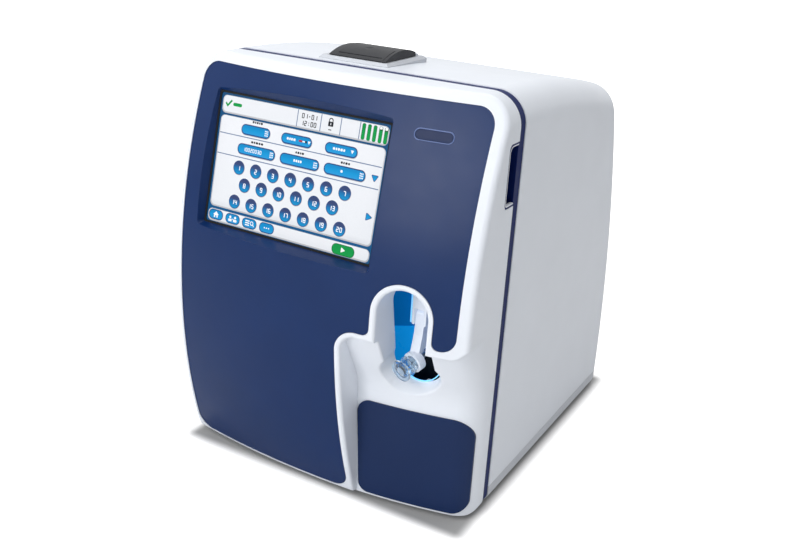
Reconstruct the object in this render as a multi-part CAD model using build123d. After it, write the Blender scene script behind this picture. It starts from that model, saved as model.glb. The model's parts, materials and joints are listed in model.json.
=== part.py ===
from build123d import *
import math
import os

# Bench-top blood gas analyzer: an arched white case, a bulged front door with a
# tilted touch screen and a sampler recess, a strip printer on top, and the
# fluid and electronic modules inside.
# Axes: X to the right seen from the front, Y to the back, Z up.
# Origin: centre of the footprint, on the table. All sizes in millimetres.

# ------------------------------------------------------------ overall sizes
case_width = 352.0
case_height = 443.0          # table to the top of the case, at the seam
door_depth = 92.0            # seam to the foremost point of the door
body_depth = 362.0           # seam to the back of the base
foot_height = 5.0
foot_radius = 12.0
base_height = 19.0
wall = 3.0                   # moulded covers
sheet = 2.0                  # sheet metal and inner mouldings
corner_radius = 31.0         # long edges of the case, top corners of the door
bottom_radius = 10.0
top_arch_radius = 1190.0
rear_arch_radius = 1020.0
rear_top_radius = 50.0
seat_gap = 0.3               # between pieces that rest on each other
joint_line = 0.4             # visible line between the base and the case

# blue band between the door and the case
band_width = 12.0
band_depth = 12.0
band_recess = 1.0
door_gap = 0.6

# bulged front of the door
plan_radius = 970.0
profile_radius = 610.0
belly_height = 195.0
front_edge_radius = 6.0
door_skin = 5.6              # wall behind the front panel and in front of the hollow
shoulder_round = 3.0         # soft edge along the shoulder and round the arch
bowl_round = 2.5             # soft edge of the bowl
form_overlap = 2.0           # lower form's reach into the bulged form it joins

# blue front panel
panel_left = 7.0             # left edge of the door to the panel
panel_side = 13.0            # right edge of the door to the panel
panel_top = 10.5
panel_bottom = 4.0
panel_corner = 18.0
panel_drop = 0.8             # panel face below the white rim
panel_thickness = 2.4
panel_fit = 0.15
rim = 6.0                    # white rim between the panel and the recesses
shoulder_x = 37.5
shoulder_foot_x = 44.5       # the shoulder's edge leans out towards the bottom
shoulder_height = 206.0
valley_height = 208.0
valley_corner = 16.0

# sampler recess
arch_inset = 69.0            # recess's centre to the door's right side
arch_half = 26.0
arch_centre = 233.0
arch_foot = 174.0            # centre of the recess's lower round
recess_wall = 2.5
recess_back_top = 54.0       # back edge of the recess, forward of the seam
recess_back_slope = 0.19
bowl_radius = 26.0           # flared bowl below the arch
bowl_back = 38.0
bowl_length = 42.0
bowl_drop = 39.0
bowl_flare = 14.0

# sampler, mounted on the bulkhead and reached through the door
sampler_front = 14.0         # blue plate, forward of the seam
sampler_left_reach = 57.0    # recess's centre to the tray's left side
sampler_right_reach = 33.0
sampler_low_reach = 46.0     # below the recess's lower round
sampler_high_reach = 25.0    # above the centre of the recess's arch
pivot_y = -27.0              # from the seam
pivot_below = 19.0           # below the centre of the recess's arch
port_offset = 6.0            # port to the left of the recess's centre
port_below = 6.0             # below the recess's lower round
port_y = -38.0

# recessed block at the lower right of the door
block_depth = 57.0           # seam to the block's face
block_plan_radius = 620.0
block_below_arch = 46.0      # recess's lower round down to the top of the block's face
block_bend_radius = 60.0
block_slope = 26.4           # degrees, above the block
lower_panel_left = 47.0
lower_panel_foot_left = 53.0
lower_panel_inset = 6.0      # panel to the door's right side
lower_panel_below = 11.0     # top of the block's face down to the panel
lower_panel_bottom = 8.0
lower_panel_corner = 16.0
lower_panel_raise = 1.6

# touch screen
screen_width = 204.6
screen_height = 134.0
screen_inset = 136.6         # door's left side to the screen's centre
screen_y = -56.5             # centre of the screen's face, from the seam
screen_drop = 104.9          # top of the case down to the screen's centre
screen_tilt = 11.9
screen_turn = -1.5
bezel_ledge = 2.0            # from the gasket's edge to the foot of the bevel
bezel_taper = 0.45
bezel_taper_top = 0.85
bezel_wall = 2.5
gasket_thickness = 0.8
screen_margin = 4.0
glass_thickness = 1.1
lcd_thickness = 8.0

# door hinge and catch
hinge_inset = 10.0           # pin axis from the door's side and back
hinge_pin_radius = 2.5
hinge_fit = 0.05
hinge_eye_radius = 5.5
hinge_arm_height = 10.0
hinge_arm_width = 6.0
hinge_lug_height = 8.0
hinge_low = 34.0             # lower hinge, from the table
hinge_drop = 47.0            # top of the case down to the upper hinge
liner_notch = 30.0

# finger pull in the side of the door
pull_drop = 102.0            # top of the case down to the pull's foot
pull_height = 57.0
pull_length = 18.0
pull_depth = 15.0

# inside of the case
bulkhead_back = 40.0         # seam to the face of the bulkhead
reagent_width = 142.0
reagent_height = 186.0
reagent_depth = 128.0
reagent_inset = 100.0        # case's left side to the pack's centre
reagent_low = 59.0
control_width = 140.0
control_low = 39.0
control_inset = 94.0         # case's right side to the pack's centre
control_gap = 11.0           # control pack to the sampler tray
sensor_width = 168.0
sensor_height = 100.0
sensor_inset = 114.0         # case's left side to the module's centre
sensor_gap = 35.0            # reagent pack to the sensor module
pump_inset = 64.0            # case's right side to the pump's axis
pump_gap = 37.0              # sampler tray to the pump head
pump_radius = 27.0
pump_foot = 8.0              # pump head's nozzle block below its cup
manifold_half = 34.0
manifold_height = 26.0

# printer
printer_x = -17.25
printer_front = 15.0         # from the seam
plinth_left_margin = 10.5    # beyond the lid
plinth_right_margin = 5.0
plinth_length = 80.0
plinth_rise = 3.3            # plinth's top above the case
plinth_bevel = 3.0
lid_width = 66.5
lid_length = 67.5
lid_height = 9.2
lid_wall = 2.2
lid_front_gap = 3.5          # plinth's front to the lid
lid_barrel_radius = 2.8
lid_pin_radius = 1.2
lid_ear = 2.7
lid_step = 1.2               # lower strip at the left end of the lid
lid_step_width = 7.5
bay_width = 60.0
bay_depth = 48.0
roll_radius = 19.0
roll_width = 56.0

# rear connector bay
rear_bay_width = 270.0
rear_recess = 28.0           # case's back to the connector panel's face
inlet_height = 34.0          # bay's floor to the sockets
inlet_width = 48.0
inlet_tall = 28.0
inlet_lip = 3.0
rear_bay_bottom = 44.0
rear_bay_height = 132.0
fan_size = 80.0
fan_depth = 25.0
inlet_x = 20.0
ports_x = 92.0
fan_x = -78.0
tray_gap = 40.0              # connector panel to the chassis tray
board_gap = 49.0             # connector panel to the boards
board_length = 95.0

# ------------------------------------------------------------ derived places
half = case_width / 2
seam = (door_depth - panel_drop - body_depth) / 2
door_back = seam - band_width / 2 - door_gap
case_front = seam + band_width / 2
base_top = foot_height + base_height
bulkhead = seam + bulkhead_back
hinge_x = -half + hinge_inset
hinge_y = door_back - hinge_inset
far = 2 * (case_width + case_height)
arch_x = half - arch_inset
sampler_left = arch_x - sampler_left_reach
sampler_right = arch_x + sampler_right_reach
sampler_low = arch_foot - sampler_low_reach
sampler_high = arch_centre + sampler_high_reach
pivot_z = arch_centre - pivot_below
port_x = arch_x - port_offset
port_z = arch_foot - port_below
reagent_x = reagent_inset - half
reagent_z = reagent_low + reagent_height / 2
control_x = half - control_inset
control_height = sampler_low - control_gap - control_low
control_z = control_low + control_height / 2
sensor_x = sensor_inset - half
sensor_z = reagent_low + reagent_height + sensor_gap + sensor_height / 2
pump_x = half - pump_inset
pump_z = sampler_high + pump_gap + pump_foot + pump_radius
block_top = arch_foot - block_below_arch
lower_panel_top = block_top - lower_panel_below
lower_panel_right = half - lower_panel_inset
screen_x = screen_inset - half
screen_z = case_height - screen_drop
hinge_heights = (hinge_low, case_height - hinge_drop)
pull_bottom = case_height - pull_drop
plinth_top = case_height + plinth_rise
rear_panel_depth = body_depth - rear_recess
boards_back = seam + rear_panel_depth - board_gap
boards_front = boards_back - board_length
fan_z = rear_bay_bottom + rear_bay_height / 2
inlet_z = rear_bay_bottom + inlet_height
ports_z = inlet_z


# ------------------------------------------------------------ small helpers
def block(x0, x1, y0, y1, z0, z1):
    """A box between two corners."""
    size = Box(abs(x1 - x0), abs(y1 - y0), abs(z1 - z0))
    return Pos((x0 + x1) / 2, (y0 + y1) / 2, (z0 + z1) / 2) * size


def prism(sketch, y0, y1):
    """A front-view outline, drawn in X and Z, between two depths."""
    return extrude(Plane.XZ.offset(-y1) * sketch, y1 - y0)


def slab(sketch, z0, z1):
    """A plan outline between two heights."""
    return extrude(Plane.XY.offset(z0) * sketch, z1 - z0)


def side_slab(sketch, x0, x1):
    """A side-view outline, drawn in Y and Z, between two widths."""
    return extrude(Plane.YZ.offset(x0) * sketch, x1 - x0)


def rod_x(radius, x0, x1, y, z):
    return Pos((x0 + x1) / 2, y, z) * Rot(0, 90, 0) * Cylinder(radius, x1 - x0)


def rod_y(radius, x, y0, y1, z):
    return Pos(x, (y0 + y1) / 2, z) * Rot(90, 0, 0) * Cylinder(radius, y1 - y0)


def rod_z(radius, x, y, z0, z1):
    return Pos(x, y, (z0 + z1) / 2) * Cylinder(radius, z1 - z0)


def rounded(points, radii):
    """A closed outline with a radius at each corner."""
    return make_face(FilletPolyline(*points, radius=radii, close=True))


def rounded_box(x0, x1, y0, y1, z0, z1, radius):
    """A box whose four edges along Y are rounded."""
    outline = Pos((x0 + x1) / 2, (z0 + z1) / 2) * RectangleRounded(x1 - x0, z1 - z0, radius)
    return prism(outline, y0, y1)


def one(shape):
    """The single solid of a shape, or the whole shape if it has several."""
    solids = shape.solids()
    return solids[0] if len(solids) == 1 else Compound(children=list(solids))


# ------------------------------------------------------------ main forms
def case_outline(inset=0.0):
    """Section of the case and the door at the seam, seen from the front."""
    x = half - inset
    top = case_height - inset
    low = foot_height + inset
    small = max(bottom_radius - inset, 1.0)
    large = max(corner_radius - inset, 1.0)
    points = [(-x, low), (x, low), (x, top), (-x, top)]
    return rounded(points, [small, small, large, large])


def body_form(inset):
    """The arched case, moved in by inset and running a little past the seam."""
    front = seam - band_width
    low = foot_height
    top_radius = top_arch_radius - inset
    back_radius = rear_arch_radius - inset
    back_centre = seam + body_depth - rear_arch_radius

    def top(y):
        return case_height - top_arch_radius + math.sqrt(top_radius**2 - (y - seam) ** 2)

    def back(z):
        return back_centre + math.sqrt(back_radius**2 - (z - base_top) ** 2)

    high = case_height + corner_radius
    middle = (low + high) / 2
    deep = seam + body_depth + corner_radius
    rear = make_face([
        ThreePointArc((back(low), low), (back(middle), middle), (back(high), high)),
        Polyline((back(high), high), (front, high), (front, low), (back(low), low)),
    ])
    half_way = (front + deep) / 2
    arch = make_face([
        ThreePointArc((front, top(front)), (half_way, top(half_way)), (deep, top(deep))),
        Polyline((deep, top(deep)), (deep, low), (front, low), (front, top(front))),
    ])
    side = rear & arch
    corner = max(side.vertices(), key=lambda vertex: vertex.X + vertex.Y)
    side = fillet(corner, rear_top_radius - inset)
    body = extrude(Plane.YZ * side, half - inset, both=True).solids()[0]
    edges = [
        edge for edge in body.edges()
        if abs(abs(edge.center().X) - (half - inset)) < 0.5
        and edge.center().Y > seam and edge.center().Z > base_top
    ]
    return body.fillet(corner_radius - inset, edges)


def barrel(inset):
    """Everything behind the bulged front surface, moved in by inset."""
    radius = profile_radius - inset
    centre = seam - door_depth + profile_radius
    low = -corner_radius
    high = case_height + corner_radius
    back = seam + band_width

    def front(z):
        return centre - math.sqrt(radius**2 - (z - belly_height) ** 2)

    face = make_face([
        ThreePointArc((front(low), low), (centre - radius, belly_height), (front(high), high)),
        Polyline((front(high), high), (back, high), (back, low), (front(low), low)),
    ])
    return turned(face, seam - door_depth + plan_radius, plan_radius)


def turned(face, axis_y, radius):
    """A side-view face swept about an upright axis, across the width of the door."""
    axis = Axis((0, axis_y, 0), (0, 0, 1))
    sweep = 2 * math.degrees(math.asin(0.6 * case_width / radius))
    return revolve(Plane.YZ * face, axis, sweep).rotate(axis, -sweep / 2)


def lower_form(inset):
    """The recessed block with the slope above it, moved in by inset."""
    face_y = seam - block_depth + inset
    angle = math.radians(block_slope)
    low = -corner_radius
    bend_top = block_top + block_bend_radius * math.sin(angle)
    bend_y = face_y - block_bend_radius * (1 - math.cos(angle))
    bend_mid_z = block_top + block_bend_radius * math.sin(angle / 2)
    bend_mid_y = face_y - block_bend_radius * (1 - math.cos(angle / 2))
    high = bend_top + arch_centre - block_top
    high_y = bend_y - (high - bend_top) * math.tan(angle)
    back = seam + band_width
    face = make_face([
        Line((face_y, low), (face_y, block_top)),
        ThreePointArc((face_y, block_top), (bend_mid_y, bend_mid_z), (bend_y, bend_top)),
        Polyline((bend_y, bend_top), (high_y, high), (back, high), (back, low), (face_y, low)),
    ])
    form = turned(face, seam - block_depth + block_plan_radius, block_plan_radius)
    form = form & block(-half, half - inset, seam - far, seam + far, low, high)
    form = form.solids()[0]
    edges = [
        edge for edge in form.edges()
        if edge.center().X > half - inset - 0.5 and edge.length > 5
        and edge.center().Y < seam - 5 and low + 1 < edge.center().Z < high - 1
    ]
    return form.fillet(corner_radius - inset, edges)


def lower_region(grow=0.0):
    """Front-view area where the door is cut back to the lower form."""
    lean = shoulder_foot_x - shoulder_x
    left = shoulder_x + rim - grow
    top = shoulder_height - rim + grow
    low = -corner_radius
    foot_left = left + lean * (top - low) / (shoulder_height - panel_bottom)
    right = half - panel_side
    points = [
        (foot_left, low), (left, top), (right, top),
        (half + corner_radius, top + corner_radius + panel_side), (half + corner_radius, low),
    ]
    return rounded(points, [0, valley_corner + grow, valley_corner, 0, 0])


def bulged_form(skin_inset, side_inset):
    """The door's main form, with its softened outer edge."""
    outline = prism(case_outline(side_inset), seam - far / 2, door_back)
    main = (barrel(skin_inset) & outline).solids()[0]
    front = main.faces().sort_by(Axis.Y)[0]
    return main.fillet(front_edge_radius - side_inset, front.edges())


def block_form(side_inset, overlap=0.0):
    """The part of the door below the shoulder and the valley."""
    outline = prism(case_outline(side_inset), seam - far / 2, door_back)
    region = prism(lower_region(side_inset + overlap), seam - far / 2, door_back)
    return lower_form(side_inset) & outline & region


def door_hollow():
    """Inside of the door, a skin's thickness behind its front and a wall inside its sides."""
    region = prism(lower_region(wall), seam - far / 2, door_back)
    return (bulged_form(door_skin, wall) - region) + block_form(wall)


def bulge_front(x, z):
    """Depth of the bulged front surface at a place seen from the front."""
    drop = profile_radius - math.sqrt(profile_radius**2 - (z - belly_height) ** 2)
    return seam - door_depth + plan_radius - math.sqrt((plan_radius - drop) ** 2 - x**2)


def is_shoulder_edge(edge):
    """True for the edges that the shoulder and the arch cut into the bulged front."""
    middle = edge @ 0.5
    if not shoulder_x - 2 < middle.X < half - front_edge_radius - 1:
        return False
    if middle.Z > arch_centre + arch_half + 3:
        return False
    return abs(middle.Y - bulge_front(middle.X, middle.Z)) < 0.3


def is_bowl_edge(edge):
    """True for the edges that the arch and the bowl cut near the slope."""
    middle = edge @ 0.5
    near = abs(middle.X - arch_x) < bowl_radius + bowl_flare + 5
    return near and block_top < middle.Z < arch_centre and edge.geom_type != GeomType.CIRCLE


def door_outside():
    """Outer form of the door, with the sampler recess cut and its edges softened."""
    region = prism(lower_region(), seam - far / 2, door_back)
    arch = prism(arch_outline(), seam - far / 2, door_back)
    upper = (bulged_form(0, 0) - region - arch).solids()[0]
    upper = upper.fillet(shoulder_round, [e for e in upper.edges() if is_shoulder_edge(e)])
    lower = (block_form(0, form_overlap) - arch - bowl()).solids()[0]
    slope = [face for face in lower_form(0).faces() if face.center().Y < seam - band_width]
    rims = [
        edge for edge in lower.edges()
        if is_bowl_edge(edge) and min(face.distance_to(edge @ 0.5) for face in slope) < 0.05
    ]
    return upper + lower.fillet(bowl_round, rims)


def panel_outline(fit=0.0):
    """Front view of the blue panel with its notch round the sampler arch."""
    left = -half + panel_left + fit
    right = half - panel_side - fit
    top = case_height - panel_top - fit
    low = foot_height + panel_bottom + fit
    arch_left = arch_x - arch_half - rim - fit
    arch_right = arch_x + arch_half + rim + fit
    arch_top = arch_centre + arch_half + rim + fit
    arch_radius = arch_half + rim - 0.5
    points = [
        (left, low), (shoulder_foot_x - fit, low), (shoulder_x - fit, shoulder_height + fit),
        (arch_left, shoulder_height + fit), (arch_left, arch_top), (arch_right, arch_top),
        (arch_right, valley_height + fit), (right, valley_height + fit), (right, top),
        (left, top),
    ]
    upper = corner_radius - panel_side
    radii = [
        panel_corner, panel_corner, panel_corner + 4, 8, arch_radius, arch_radius,
        7, valley_corner, upper, upper,
    ]
    return rounded(points, radii)


def arch_outline(grow=0.0):
    """Front view of the sampler recess."""
    tall = arch_centre - arch_foot
    middle = (arch_centre + arch_foot) / 2
    return Pos(arch_x, middle) * SlotCenterToCenter(tall, 2 * (arch_half + grow), rotation=90)


def bowl(grow=0.0):
    """Flared bowl in the slope below the arch."""
    back = Plane.XZ.offset(bowl_back - seam) * Pos(arch_x, arch_foot)
    front = Plane.XZ.offset(bowl_back + bowl_length - seam) * Pos(arch_x, arch_foot - bowl_drop)
    return loft([
        back * Circle(bowl_radius + grow),
        front * Circle(bowl_radius + bowl_flare + grow),
    ])


def recess_front_of(gap):
    """Everything in front of the recess's back edge, which leans back downwards."""
    top_z = case_height
    low_z = foot_height

    def back(z):
        return seam - recess_back_top + (arch_centre - z) * recess_back_slope + gap

    points = [(seam - far / 2, low_z), (back(low_z), low_z), (back(top_z), top_z),
              (seam - far / 2, top_z)]
    return side_slab(make_face(Polyline(*points, close=True)), -half, half)


def hinge_round(radius):
    """What the rounded rear left edge of the door leaves free, about the hinge axis."""
    corner = block(-half - 1, hinge_x, hinge_y, door_back + 1, 0, case_height + 1)
    return corner - rod_z(radius, hinge_x, hinge_y, -1, case_height + 2)


screen_plane = Plane(
    origin=(screen_x, seam + screen_y, screen_z),
    x_dir=(math.cos(math.radians(screen_turn)), math.sin(math.radians(screen_turn)), 0),
    z_dir=(
        math.sin(math.radians(screen_turn)) * math.cos(math.radians(screen_tilt)),
        -math.cos(math.radians(screen_turn)) * math.cos(math.radians(screen_tilt)),
        math.sin(math.radians(screen_tilt)),
    ),
)


def screen_slab(width, height, low, high, radius=2.0):
    """A plate parallel to the screen, between two distances from its face."""
    outline = screen_plane.offset(low) * RectangleRounded(width, height, radius)
    return extrude(outline, high - low, dir=screen_plane.z_dir)


def screen_funnel(grow):
    """The bevelled opening in front of the screen, widening towards the front."""
    reach = 30.0
    width = screen_width + 2 * (bezel_ledge + grow)
    height = screen_height + 2 * (bezel_ledge + grow)
    side_step = bezel_taper * reach
    top_step = bezel_taper_top * reach
    front = Pos(0, (top_step - side_step) / 2) * RectangleRounded(
        width + 2 * side_step, height + side_step + top_step, 12)
    return loft([
        screen_plane * RectangleRounded(width, height, 2),
        screen_plane.offset(reach) * front,
    ])


# ------------------------------------------------------------ door pieces
def pull_box(grow):
    """Finger pull in the right side of the door, open to the side and the back."""
    return rounded_pull(
        half - pull_depth - grow, door_back - pull_length - grow,
        pull_bottom - grow, pull_bottom + pull_height + grow,
    )


def rounded_pull(left, front, low, high):
    outline = rounded(
        [(front, low), (door_back + 1, low), (door_back + 1, high), (front, high)],
        [5, 0, 0, 5],
    )
    return side_slab(outline, left, half + 1)


def make_door_bezel():
    hollow = door_hollow() - hinge_round(hinge_inset - wall)
    throat = (prism(arch_outline(recess_wall), seam - far / 2, door_back) + bowl(recess_wall))
    throat = throat & recess_front_of(0)
    hollow = hollow - throat - pull_box(sheet + 2 * seat_gap)
    for height in hinge_heights:
        gap = hinge_arm_height / 2 + seat_gap
        for low in (height - gap - hinge_lug_height, height + gap):
            hollow = hollow - rod_z(hinge_inset - wall + 0.2, hinge_x, hinge_y, low,
                                    low + hinge_lug_height)
    bezel = door_outside() - hollow - hinge_round(hinge_inset)
    pocket = prism(panel_outline(), seam - far / 2, door_back)
    bezel = bezel - (pocket - barrel(panel_drop + panel_thickness))
    bezel = bezel - screen_funnel(bezel_wall + seat_gap)
    bezel = bezel - screen_slab(screen_width + 4 * screen_margin + 2,
                                screen_height + 4 * screen_margin + 2, -40, 0)
    bezel = bezel - pull_box(sheet + seat_gap)
    for height in hinge_heights:
        bezel = bezel - rod_z(hinge_pin_radius + hinge_fit, hinge_x, hinge_y,
                              height - 20, height + 20)
    return bezel


def make_front_panel():
    outline = prism(panel_outline(panel_fit), seam - far / 2, door_back)
    behind = barrel(panel_drop) & outline
    skin = behind - barrel(panel_drop + panel_thickness)
    surround = behind & screen_funnel(bezel_wall)
    panel = skin + surround - screen_funnel(0)
    return panel - screen_slab(screen_width + 4 * screen_margin + 2,
                               screen_height + 4 * screen_margin + 2, -40, 0)


def lower_panel_outline(fit=0.0):
    low = lower_panel_bottom + fit
    top = lower_panel_top - fit
    right = lower_panel_right - fit
    points = [(lower_panel_foot_left + fit, low), (right, low), (right, top),
              (lower_panel_left + fit, top)]
    return rounded(points, [lower_panel_corner - 4, lower_panel_corner, lower_panel_corner + 4,
                            lower_panel_corner - 2])


def make_lower_panel():
    plate = lower_form(-lower_panel_raise) - lower_form(0)
    plate = plate & prism(lower_panel_outline(), seam - far / 2, door_back)
    return plate & block(0, half - 0.5, seam - far, seam - band_width, 0, case_height)


def make_display_gasket():
    outer = screen_slab(screen_width + 2 * (screen_margin - 1), screen_height
                        + 2 * (screen_margin - 1), -gasket_thickness, 0)
    return outer - screen_slab(screen_width, screen_height, -gasket_thickness, 0)


def make_touch_screen():
    back = -gasket_thickness - glass_thickness
    return screen_slab(screen_width + 2 * screen_margin, screen_height + 2 * screen_margin,
                       back, -gasket_thickness)


def make_lcd_module():
    front = -gasket_thickness - glass_thickness
    body = screen_slab(screen_width + 2 * screen_margin, screen_height + 2 * screen_margin,
                       front - lcd_thickness, front)
    driver = screen_slab(screen_width / 2, screen_height / 3, front - lcd_thickness - 2,
                         front - lcd_thickness)
    return body + driver


def make_display_bracket():
    """Sheet frame behind the display, with a rib on each side."""
    front = -gasket_thickness - glass_thickness - lcd_thickness
    width = screen_width + 4 * screen_margin
    height = screen_height + 4 * screen_margin
    plate = screen_slab(width, height, front - 1.5, front)
    window = screen_slab(screen_width - 40, screen_height - 40, front - 1.5, front)
    ribs = screen_slab(width, height, front, -1) - screen_slab(width - 3, height - 3, front, -1)
    return plate - window + ribs


def make_display_board():
    """Controller board on four posts behind the display bracket."""
    face = -gasket_thickness - glass_thickness - lcd_thickness - 1.5
    width = screen_width - 30
    height = screen_height - 30
    post = 6.0
    board = screen_slab(width, height, face - post - 1.6, face - post)
    for x in (-1, 1):
        for y in (-1, 1):
            place = screen_plane.offset(face - post) * Pos(x * (width / 2 - 4), y * (height / 2 - 4))
            board = board + extrude(place * Circle(3), post, dir=screen_plane.z_dir)
    chip = screen_plane.offset(face - post - 1.6 - 3) * Rectangle(40, 30)
    return board + extrude(chip, 3, dir=screen_plane.z_dir)


def make_door_liner():
    """Inner cover that closes the back of the door."""
    gap = wall + seat_gap
    plate = prism(case_outline(gap), door_back - sheet, door_back)
    plate = plate - hinge_round(hinge_inset - gap)
    sampler = rounded_box(sampler_left - 6, sampler_right + 8, door_back - 10, door_back + 1,
                          sampler_low - 6, sampler_high + 6, 8)
    plate = plate - sampler - pull_box(sheet + 2 * seat_gap)
    for height in hinge_heights:
        reach = hinge_arm_height / 2 + hinge_lug_height + 2
        plate = plate - block(-half, hinge_x + liner_notch, door_back - 10, door_back + 1,
                              height - reach, height + reach)
    ribs = prism(case_outline(gap + 12), door_back - sheet - 6, door_back - sheet)
    ribs = ribs - prism(case_outline(gap + 14), door_back - far, door_back + far)
    ribs = ribs - block(-half, hinge_x + liner_notch, seam - far, seam, 0, case_height)
    ribs = ribs - block(half - pull_depth - 8, half, seam - far, seam, pull_bottom - 10,
                        pull_bottom + pull_height + 10)
    return plate + ribs


def make_finger_pull():
    cup = pull_box(sheet) & block(half - 2 * pull_depth, half - seat_gap, seam - far,
                                  door_back, 0, case_height)
    return cup - pull_box(0)


port_radius = 8.0
port_bore = 5.0
port_flange = 11.5
port_reach = 21.0
port_dir = Vector(-0.25, -0.93, -0.27).normalized()
port_plane = Plane(origin=(port_x, seam + port_y, port_z), x_dir=(0.965, -0.26, 0),
                   z_dir=(port_dir.X, port_dir.Y, port_dir.Z))


def port_rod(radius, low, high):
    """A rod along the axis of the sample port."""
    return extrude(port_plane.offset(low) * Circle(radius), high - low, dir=port_plane.z_dir)


def make_sampler_tray():
    """Blue plate behind the recess with side walls that run back to the bulkhead."""
    front = seam - sampler_front
    shell = rounded_box(sampler_left, sampler_right, front, bulkhead, sampler_low,
                        sampler_high, 6)
    inner = rounded_box(sampler_left + sheet, sampler_right - sheet, front + sheet,
                        bulkhead + 1, sampler_low + sheet, sampler_high - sheet, 4)
    window = rounded_box(port_x + 2, port_x + 30, front - 1, front + sheet + 1,
                         sampler_low + 10, port_z - 4, 3)
    return shell - inner - window


def make_sampler_housing():
    """White drive housing with a fork at its foot for the arm's pivot."""
    left, right = port_x - 8, port_x + 8
    back = seam - sampler_front
    front = back - 22
    body = rounded_box(left, right, front, back, pivot_z - 8, sampler_high - 6, 2)
    slot = block(port_x - 5.3, port_x + 5.3, front - 1, back - 3, pivot_z - 9, pivot_z + 9)
    pin = rod_x(2, left, right, seam + pivot_y, pivot_z)
    return body - slot + pin


def make_sampler_arm():
    """Lever from the pivot down to the port clamp."""
    outline = rounded(
        [(seam + pivot_y - 5, pivot_z + 6), (seam + pivot_y + 5, pivot_z + 6),
         (seam + port_y + 14, port_z + 14), (seam + port_y + 6, port_z + 2),
         (seam + port_y - 4, port_z + 4), (seam + pivot_y - 8, pivot_z - 18)],
        [4.5, 4.5, 3, 2, 2, 3],
    )
    arm = side_slab(outline, port_x - 5, port_x + 5)
    clamp = port_rod(port_radius + 3, -4, 4)
    arm = arm + clamp - port_rod(port_radius, -far / 20, far / 20)
    return arm - rod_x(2 + hinge_fit, port_x - 9, port_x + 9, seam + pivot_y, pivot_z)


def make_sample_port():
    tube = port_rod(port_radius, -6, port_reach - 2.5)
    flange = port_rod(port_flange, port_reach - 2.5, port_reach)
    rib = port_rod(port_radius + 2, 8, 10)
    return tube + flange + rib - port_rod(port_bore, -6, port_reach)


def make_sample_probe():
    needle = port_rod(0.8, -16, port_reach - 6)
    carriage = port_rod(port_bore - 0.1, -14, 2)
    return needle + carriage


def make_drip_lip():
    """Small grey drain tab at the foot of the recess."""
    back = seam - bowl_back
    return rounded_box(arch_x + 8, arch_x + 16, back + 0.6, back + 3.6, arch_foot - bowl_radius - 6,
                       arch_foot - bowl_radius + 3, 1.2)


# ------------------------------------------------------------ fixed structure
floor = foot_height + wall
case_form = body_form(0)
case_hollow = body_form(wall)
case_fit = body_form(wall + seat_gap)
case_fit_hollow = body_form(wall + seat_gap + sheet)


def make_case_shell():
    shell = case_form - case_hollow
    shell = shell & block(-half - 1, half + 1, case_front, seam + body_depth + 1,
                          base_top + joint_line, case_height + 1)
    opening = rear_bay(0)
    slot = printer_opening(0)
    return shell - opening - slot


def make_base_pan():
    outer = case_form & block(-half, half, case_front, seam + far, foot_height, base_top)
    outer = outer.solids()[0]
    edges = [
        edge for edge in outer.edges()
        if edge.center().Z < foot_height + 0.1 and edge.center().Y > case_front + 1
    ]
    outer = outer.fillet(bottom_radius, edges)
    inner = case_hollow & block(-half, half, case_front + wall, seam + far, floor,
                                base_top + 1)
    ledge = case_hollow & block(-half, half, bulkhead + 20, seam + far, base_top - 5, base_top)
    lip = case_fit & block(-half, half, bulkhead + 20, seam + far, base_top - 5, base_top + 6)
    return outer - inner + (ledge + lip - case_fit_hollow)


def make_trim_band():
    ring = prism(case_outline(band_recess), seam - band_width / 2, case_front)
    return ring - prism(case_outline(band_recess + band_depth), seam - far, seam + far)


def make_foot(x, y):
    pad = rod_z(foot_radius, x, y, 0, foot_height)
    return chamfer(pad.edges().group_by(Axis.Z)[0], 1.0)


def make_bulkhead():
    """Front plate of the chassis, with bays for the packs and flanged sides."""
    plate = case_fit & block(-half, half, bulkhead, bulkhead + sheet, floor, case_height)
    flange = (case_fit - case_fit_hollow) & block(-half, half, bulkhead, bulkhead + 14, floor,
                                                  case_height)
    foot = block(-half + 20, half - 20, bulkhead, bulkhead + 14, floor, floor + sheet)
    plate = plate + flange + foot
    plate = plate - block(bay_left - 8, bay_right + 8, bulkhead - 1, bulkhead + 20,
                          bay_low - 3, case_height)
    plate = plate - rounded_box(reagent_x - reagent_width / 2 - seat_gap - sheet,
                                reagent_x + reagent_width / 2 + seat_gap + sheet,
                                bulkhead - 1, bulkhead + 20,
                                reagent_z - reagent_height / 2 - seat_gap - sheet,
                                reagent_z + reagent_height / 2 + seat_gap + sheet, 6)
    plate = plate - rounded_box(control_x - control_width / 2 - seat_gap - sheet,
                                control_x + control_width / 2 + seat_gap + sheet,
                                bulkhead - 1, bulkhead + 20,
                                control_z - control_height / 2 - seat_gap - sheet,
                                control_z + control_height / 2 + seat_gap + sheet, 6)
    return plate - rod_y(12, pump_x, bulkhead - 1, bulkhead + 20, pump_z)


def make_bay(x, z, width, height):
    """Moulded sleeve that holds a pack, with a collar on the bulkhead's face."""
    gap = seat_gap
    w, h = width / 2 + gap + sheet, height / 2 + gap + sheet
    deep = bulkhead + reagent_depth
    sleeve = rounded_box(x - w + gap, x + w - gap, bulkhead - sheet, deep, z - h + gap,
                         z + h - gap, 5)
    collar = rounded_box(x - w - 4, x + w + 4, bulkhead - sheet, bulkhead, z - h - 4,
                         z + h + 4, 8)
    hollow = rounded_box(x - width / 2, x + width / 2, bulkhead - sheet - 1, deep - sheet,
                         z - height / 2, z + height / 2, 4)
    return sleeve + collar - hollow


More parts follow.
